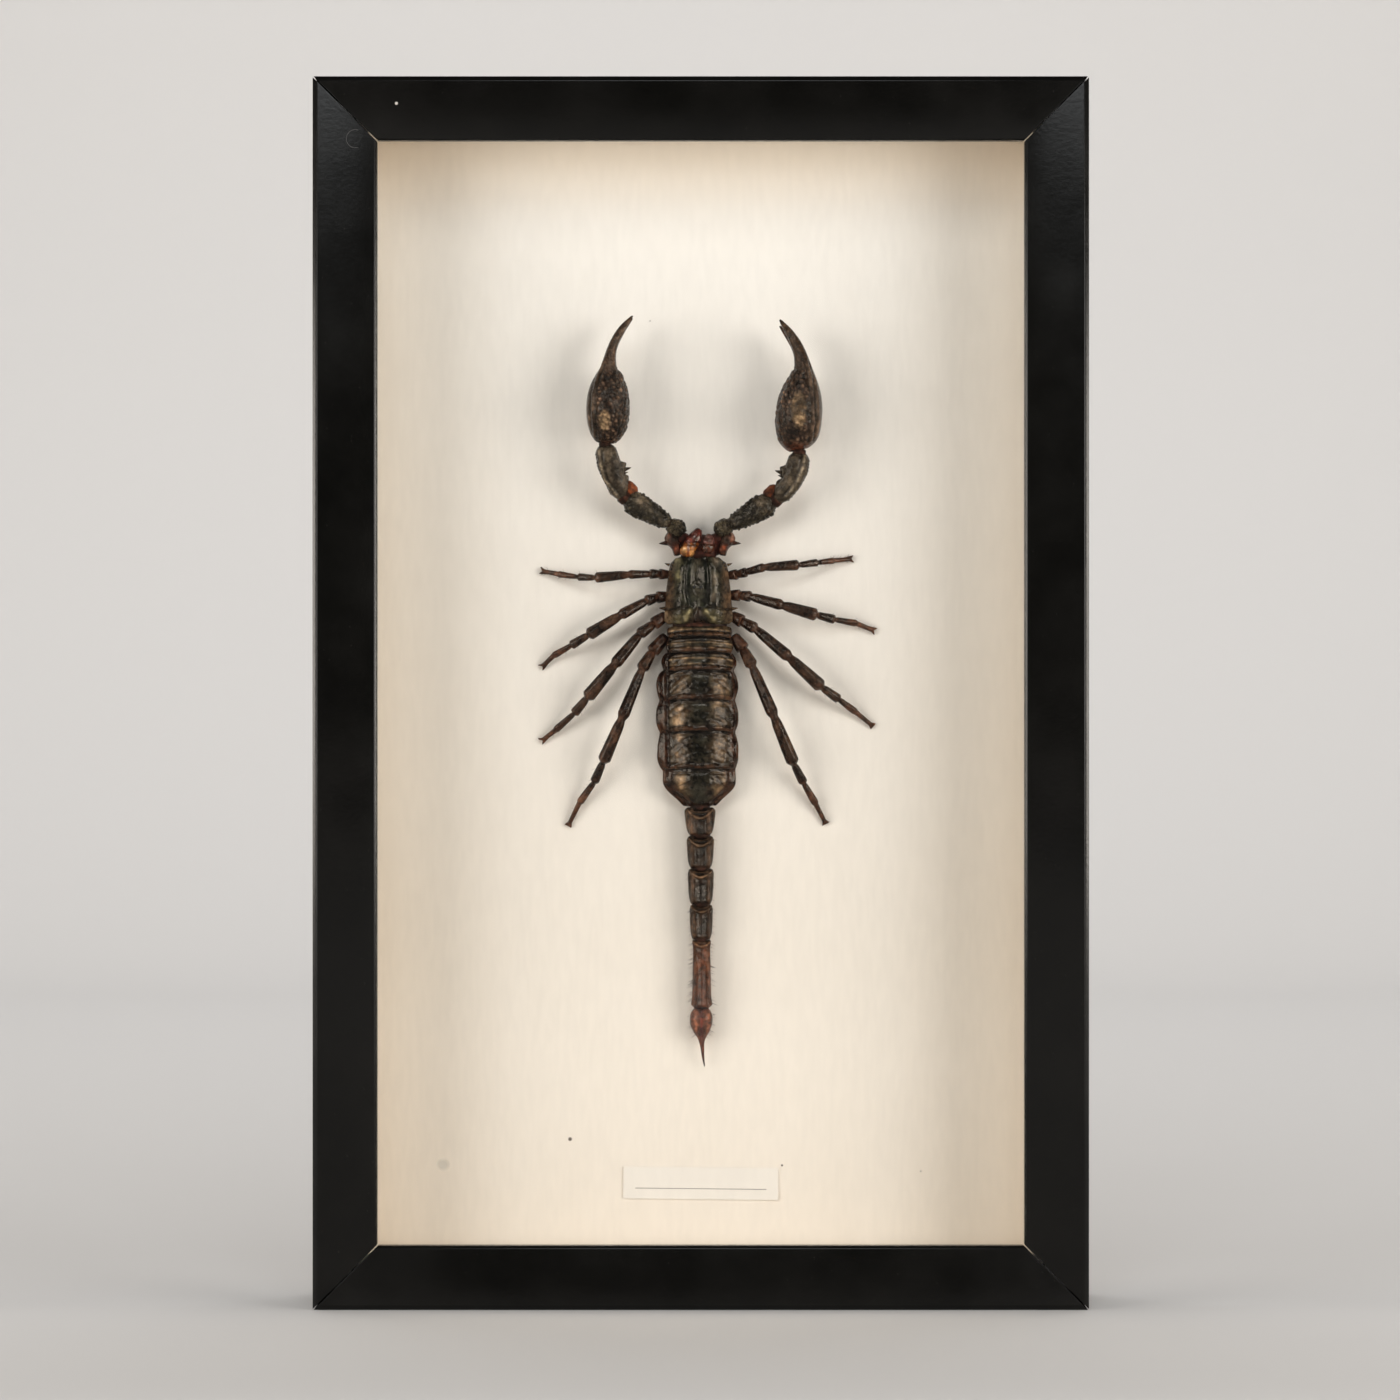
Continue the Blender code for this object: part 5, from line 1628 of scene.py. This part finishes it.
def dress_trochanter(side, way):
    """The second joint of an arm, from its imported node."""
    knob = softened_copy(f"arm_trochanter_{side}", f"trochanter_{side}", 3, 3)
    open_whole(knob)
    bpy.ops.transform.resize(value=(1.14, 1.05, 1.1), center_override=at(way * 5.4, 23.0, 5.6))
    close()
    across, along, height, facing = read(knob)
    raise_by(knob, 0.1 + 0.2 * (ease(cell_field(across, along, height, 0.9), 0, 0.5) - 0.5))
    chance = random.Random("knob" + side)
    spots = []
    for _ in range(KNOB_BUMPS):
        x = way * chance.uniform(3.6, 7.4)
        for spot, normal in dropped(knob, x, chance.uniform(21.2, 24.8), 14):
            spots.append((spot, normal, chance.uniform(0.45, 0.85)))
    add_to(knob, plant(pebble, "joint_bumps", spots))
    across, along, height, facing = read(knob)
    paint(knob, tint(
        (0.024, 0.023, 0.016),
        (0.5 + 0.5 * ripple(across * 2, along * 2, height, 72), (0.05, 0.042, 0.03)),
        # Painted shade in the gaps between the bumps.
        ((1 - ease(cell_field(across, along, height, 0.9), 0.02, 0.25)) * 0.6, (0.009, 0.008, 0.006)),
    ))
    hand_over(knob, "arm_shell", claw_shell, f"arm_trochanter_{side}")


for side, way in (("left", -1), ("right", 1)):
    dress_coxa(side, way)
    dress_trochanter(side, way)

# %% [markdown]
# ## Jaws
# The two chelicerae are small pincers that fill the gap between the arms, the only bright part of the
# animal. The left one lies over the right: its base is amber, where the shell is thin, and its blunt
# finger is wine red and crosses the middle. The right one is darker at the base, and its finger is a
# fleshy pink. Furrows part base from finger, and the base once more along its middle. The left base is
# drawn out sideways and down first, to the outline that the photograph shows.

# %% Amber and wine-red jaws
for side, way in (("left", -1), ("right", 1)):
    jaw = rounded_copy(f"chelicera_{side}", f"jaw_{side}", 3)
    if side == "left":
        pull(jaw, lambda co: co.z / MM - SPECIMEN_Z < 18.6, 2.0, shift=(-0.6, 0.0, -0.6))
    across, along, lift, facing = read(jaw)
    waist = bell(along - 19.2, 0.3)
    split_at, (x, z) = (-2.75, (-2.1, 20.6)) if side == "left" else (1.5, (2.4, 19.4))
    furrow = bell(across - split_at, 0.24) * (1 - ease(along, 18.4, 19.0))
    relief = upward(facing) * (-0.36 * waist - 0.28 * furrow)
    raise_by(jaw, 0.18 + relief + 0.08 * ripple(across * 2.4, along * 2.4, lift, 80))
    teeth = [on_skin(jaw, at(x + 0.2 * i, z + 0.36 * i, 9.5), None, 0.34) for i in range(5)]
    add_to(jaw, plant(pebble, "jaw_teeth", teeth))
    across, along, lift, facing = read(jaw)
    glow = 0.5 + 0.5 * ripple(across * 1.6, along * 1.6, lift, 84)
    if side == "left":
        colours = tint(
            (0.2, 0.085, 0.025),
            (glow * 0.6, (0.3, 0.14, 0.045)),
            # Painted highlights: two bright glints on the amber base.
            (bell(np.hypot(across + 3.7, along - 17.7), 0.75) * 0.9, (0.5, 0.34, 0.17)),
            (bell(np.hypot(across + 1.9, along - 16.9), 0.8) * 0.9, (0.5, 0.31, 0.14)),
            # Painted shade in the furrow between the glints.
            (bell(across + 2.75, 0.3) * 0.8, (0.13, 0.03, 0.01)),
            (ease(-across, 4.4, 5.0) * 0.8, (0.06, 0.016, 0.008)),
            # Painted shade at the waist.
            (bell(along - 18.7, 0.35) * 0.8, (0.03, 0.01, 0.006)),
            (ease(along, 18.8, 19.6), (0.07, 0.022, 0.018)),
            (ease(along, 19.2, 20.0) * glow * 0.5, (0.11, 0.042, 0.036)),
            (ease(along, 21.2, 22.4) * 0.6, (0.05, 0.012, 0.01)),
        )
    else:
        colours = tint(
            (0.03, 0.014, 0.01),
            (glow * 0.4, (0.09, 0.035, 0.02)),
            (ease(along, 18.9, 19.5), (0.12, 0.066, 0.062)),
            (ease(along, 19.2, 19.9) * glow * 0.5, (0.19, 0.12, 0.115)),
        )
    # Painted shade: the flanks and underside, which turn away from the front, are painted up to 60 percent
    # darker.
    paint(jaw, colours * (1 - 0.6 * (1 - upward(facing, -0.2, 0.3)))[:, None])
    hand_over(jaw, "jaw_shell", jaw_shell, f"chelicera_{side}")

# %% [markdown]
# ## Joint skin
# Where two hard segments meet, a soft cuff joins them. Dried, it is wrinkled and brown, and at the elbows
# it is stretched and orange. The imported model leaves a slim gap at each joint, and here each gap gets its
# cuff: a ball pinched at its waist, drawn out along the joint, and wrinkled by a Displace modifier.

# %% Cuffs for every joint
creases = bpy.data.textures.new("creases", "CLOUDS")
creases.noise_scale = 0.0006
DRIED = (0.035, 0.017, 0.012)
ORANGE = (0.11, 0.042, 0.02)
CUFFS = [
    ("tail_cuff_1", (0.0, -42.7, 3.6), (0, -1, 0), (2.6, 2.0, 1.3), DRIED),
    ("tail_cuff_2", (0.1, -49.45, 3.55), (0, -1, 0), (2.5, 2.1, 1.1), DRIED),
    ("tail_cuff_3", (0.15, -57.15, 3.45), (0, -1, 0), (2.4, 2.0, 1.1), DRIED),
    ("tail_cuff_4", (0.25, -65.65, 3.35), (0, -1, 0), (2.2, 1.85, 1.1), DRIED),
    ("tail_cuff_5", (0.35, -73.95, 3.2), (0, -1, 0), (1.75, 1.7, 1.1), DRIED),
    ("tail_cuff_6", (0.35, -90.2, 3.1), (0, -1, 0), (1.35, 1.3, 0.9), DRIED),
    ("elbow_cuff_left", (-17.75, 29.95, 8.8), (-0.7, 0.6, 0.1), (1.9, 1.9, 1.5), DRIED),
    ("elbow_cuff_right", (17.7, 29.3, 8.8), (0.7, 0.6, 0.1), (1.9, 1.9, 1.5), DRIED),
    ("elbow_web_left", (-16.5, 32.1, 8.4), (-0.75, 0.65, 0), (1.7, 1.6, 2.2), ORANGE),
    ("elbow_web_right", (16.8, 31.1, 8.4), (0.75, 0.65, 0), (1.8, 1.6, 2.3), ORANGE),
    ("wrist_cuff_left", (-22.25, 42.3, 10.2), (0, 1, 0), (1.6, 1.8, 0.9), DRIED),
    ("wrist_cuff_right", (23.3, 40.55, 10.2), (0, 1, 0), (1.7, 1.9, 0.9), DRIED),
    ("shoulder_cuff_left", (-7.3, 23.9, 6.15), (-0.9, 0.4, 0), (1.2, 1.5, 0.9), DRIED),
    ("shoulder_cuff_right", (7.3, 23.7, 6.15), (0.9, 0.4, 0), (1.2, 1.5, 0.9), DRIED),
    ("hip_cuff_left", (-4.9, 21.4, 4.6), (0.2, 1, 0), (1.4, 1.7, 1.1), DRIED),
    ("hip_cuff_right", (4.9, 21.4, 4.6), (-0.2, 1, 0), (1.4, 1.7, 1.1), DRIED),
    ("finger_cuff_left", (-21.4, 60.0, 8.2), (0, 1, 0), (1.5, 1.6, 0.9), DRIED),
    ("finger_cuff_right", (24.1, 60.0, 8.2), (0, 1, 0), (1.7, 1.6, 0.9), DRIED),
    ("jaw_root", (-0.3, 16.8, 4.9), (0, 1, 0), (4.6, 1.9, 1.5), (0.05, 0.016, 0.01)),
    ("neck_skin", (-0.2, 18.6, 3.7), (0, 1, 0), (6.4, 2.3, 2.9), (0.04, 0.014, 0.01)),
    ("lip_left", (-4.5, 20.6, 4.3), (0.1, 1, 0), (2.3, 1.7, 1.5), (0.06, 0.02, 0.016)),
    ("lip_right", (4.2, 20.4, 4.3), (-0.1, 1, 0), (2.3, 1.7, 1.5), (0.05, 0.018, 0.014)),
    ("waist_skin", (0.0, 0.0, 4.6), (0, 1, 0), (7.0, 3.3, 0.8), DRIED),
]
for name, place, way, (wide, high, long), colour in CUFFS:
    pick()
    bpy.ops.mesh.primitive_uv_sphere_add(segments=32, ring_count=16, radius=1.0 * MM)
    cuff = bpy.context.object
    mark(cuff, "VERT", lambda co: abs(co.z) < 0.25 * MM)
    bpy.ops.transform.resize(value=(0.93, 0.93, 1.0))
    close()
    axis = course(*way)
    aside = axis.cross(Vector((0, -1, 0))).normalized()
    out = aside.cross(axis).normalized()
    turn = Matrix((aside * wide, out * high, axis * long)).transposed().to_4x4()
    cuff.data.transform(Matrix.Translation(at(*place)) @ turn)
    open_whole(cuff)
    bpy.ops.mesh.normals_make_consistent(inside=False)
    close()
    finish_with(
        cuff, "DISPLACE", texture=creases, texture_coords="LOCAL", strength=0.25 * MM, mid_level=0.6,
    )
    bpy.ops.object.shade_smooth()
    settle(cuff, name)
    mottle = 0.5 + 0.5 * ripple(*(measure * 3 for measure in read(cuff)[:3]), 90)
    paint(cuff, tint(colour, (mottle, tuple(c * 0.55 for c in colour))))
    hand_over(cuff, "tail_shell" if "tail" in name else "arm_shell", joint_skin)

# %% [markdown]
# ## Hairs
# A dried scorpion still has its sensory hairs, thickest on the last tail segment and the sting bulb,
# where they stand out red-brown against the cream board. They are the hair shape from before, set on the
# skin with seeded chance, standing out and leaning towards the tip.

# %% Hairs on the tail
HAIRY = [
    (tail_pieces[5], ((0.4, -75.0), (0.4, -89.5)), 3.1, 110, (0.8, 1.7)),
    (bulb, ((0.3, -91.0), (0.4, -98.5)), 3.1, 60, (0.7, 1.5)),
    (tail_pieces[4], ((0.3, -66.5), (0.3, -73.5)), 3.3, 40, (0.6, 1.2)),
    (tail_pieces[3], ((0.2, -58.0), (0.2, -65.0)), 3.4, 26, (0.5, 1.0)),
    (tail_pieces[2], ((0.1, -50.0), (0.1, -56.5)), 3.5, 20, (0.5, 1.0)),
]
chance = random.Random(5)
spots = []
for piece, ((x0, z0), (x1, z1)), lift, count, (least, most) in HAIRY:
    for _ in range(count):
        share = chance.random()
        middle = at(x0 + (x1 - x0) * share, z0 + (z1 - z0) * share, lift)
        turn = chance.choice((0.0, math.pi)) + chance.gauss(0.25, 0.6) * chance.choice((-1, 1))
        out = Vector((math.cos(turn), -abs(math.sin(turn)), 0.0))
        lean = out * 0.8 + Vector((0, 0, -0.5))
        spots.append(on_skin(piece, middle + out * 4 * MM, lean, chance.uniform(least, most), 0.05))
hand_over(plant(hair, "tail_hairs", spots), "tail_shell", bristle.material)
print("tail hairs", len(spots))

# %% [markdown]
# ## Last steps
# The small shapes that were copied are put away, and the finished model's box is measured and printed.
# The looks may never make the object larger than the model it is based on.

# %% Put away the small shapes and measure
for template in (thorn, hair, pebble):
    bpy.data.objects.remove(template)
dressed = [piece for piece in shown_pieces() if piece.type == "MESH"]
triangles = sum(len(face.vertices) - 2 for piece in dressed for face in piece.data.polygons)
print("pieces", len(dressed), "triangles", triangles)
low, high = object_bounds()
print("visual size in mm", [round(s / MM, 2) for s in high - low])
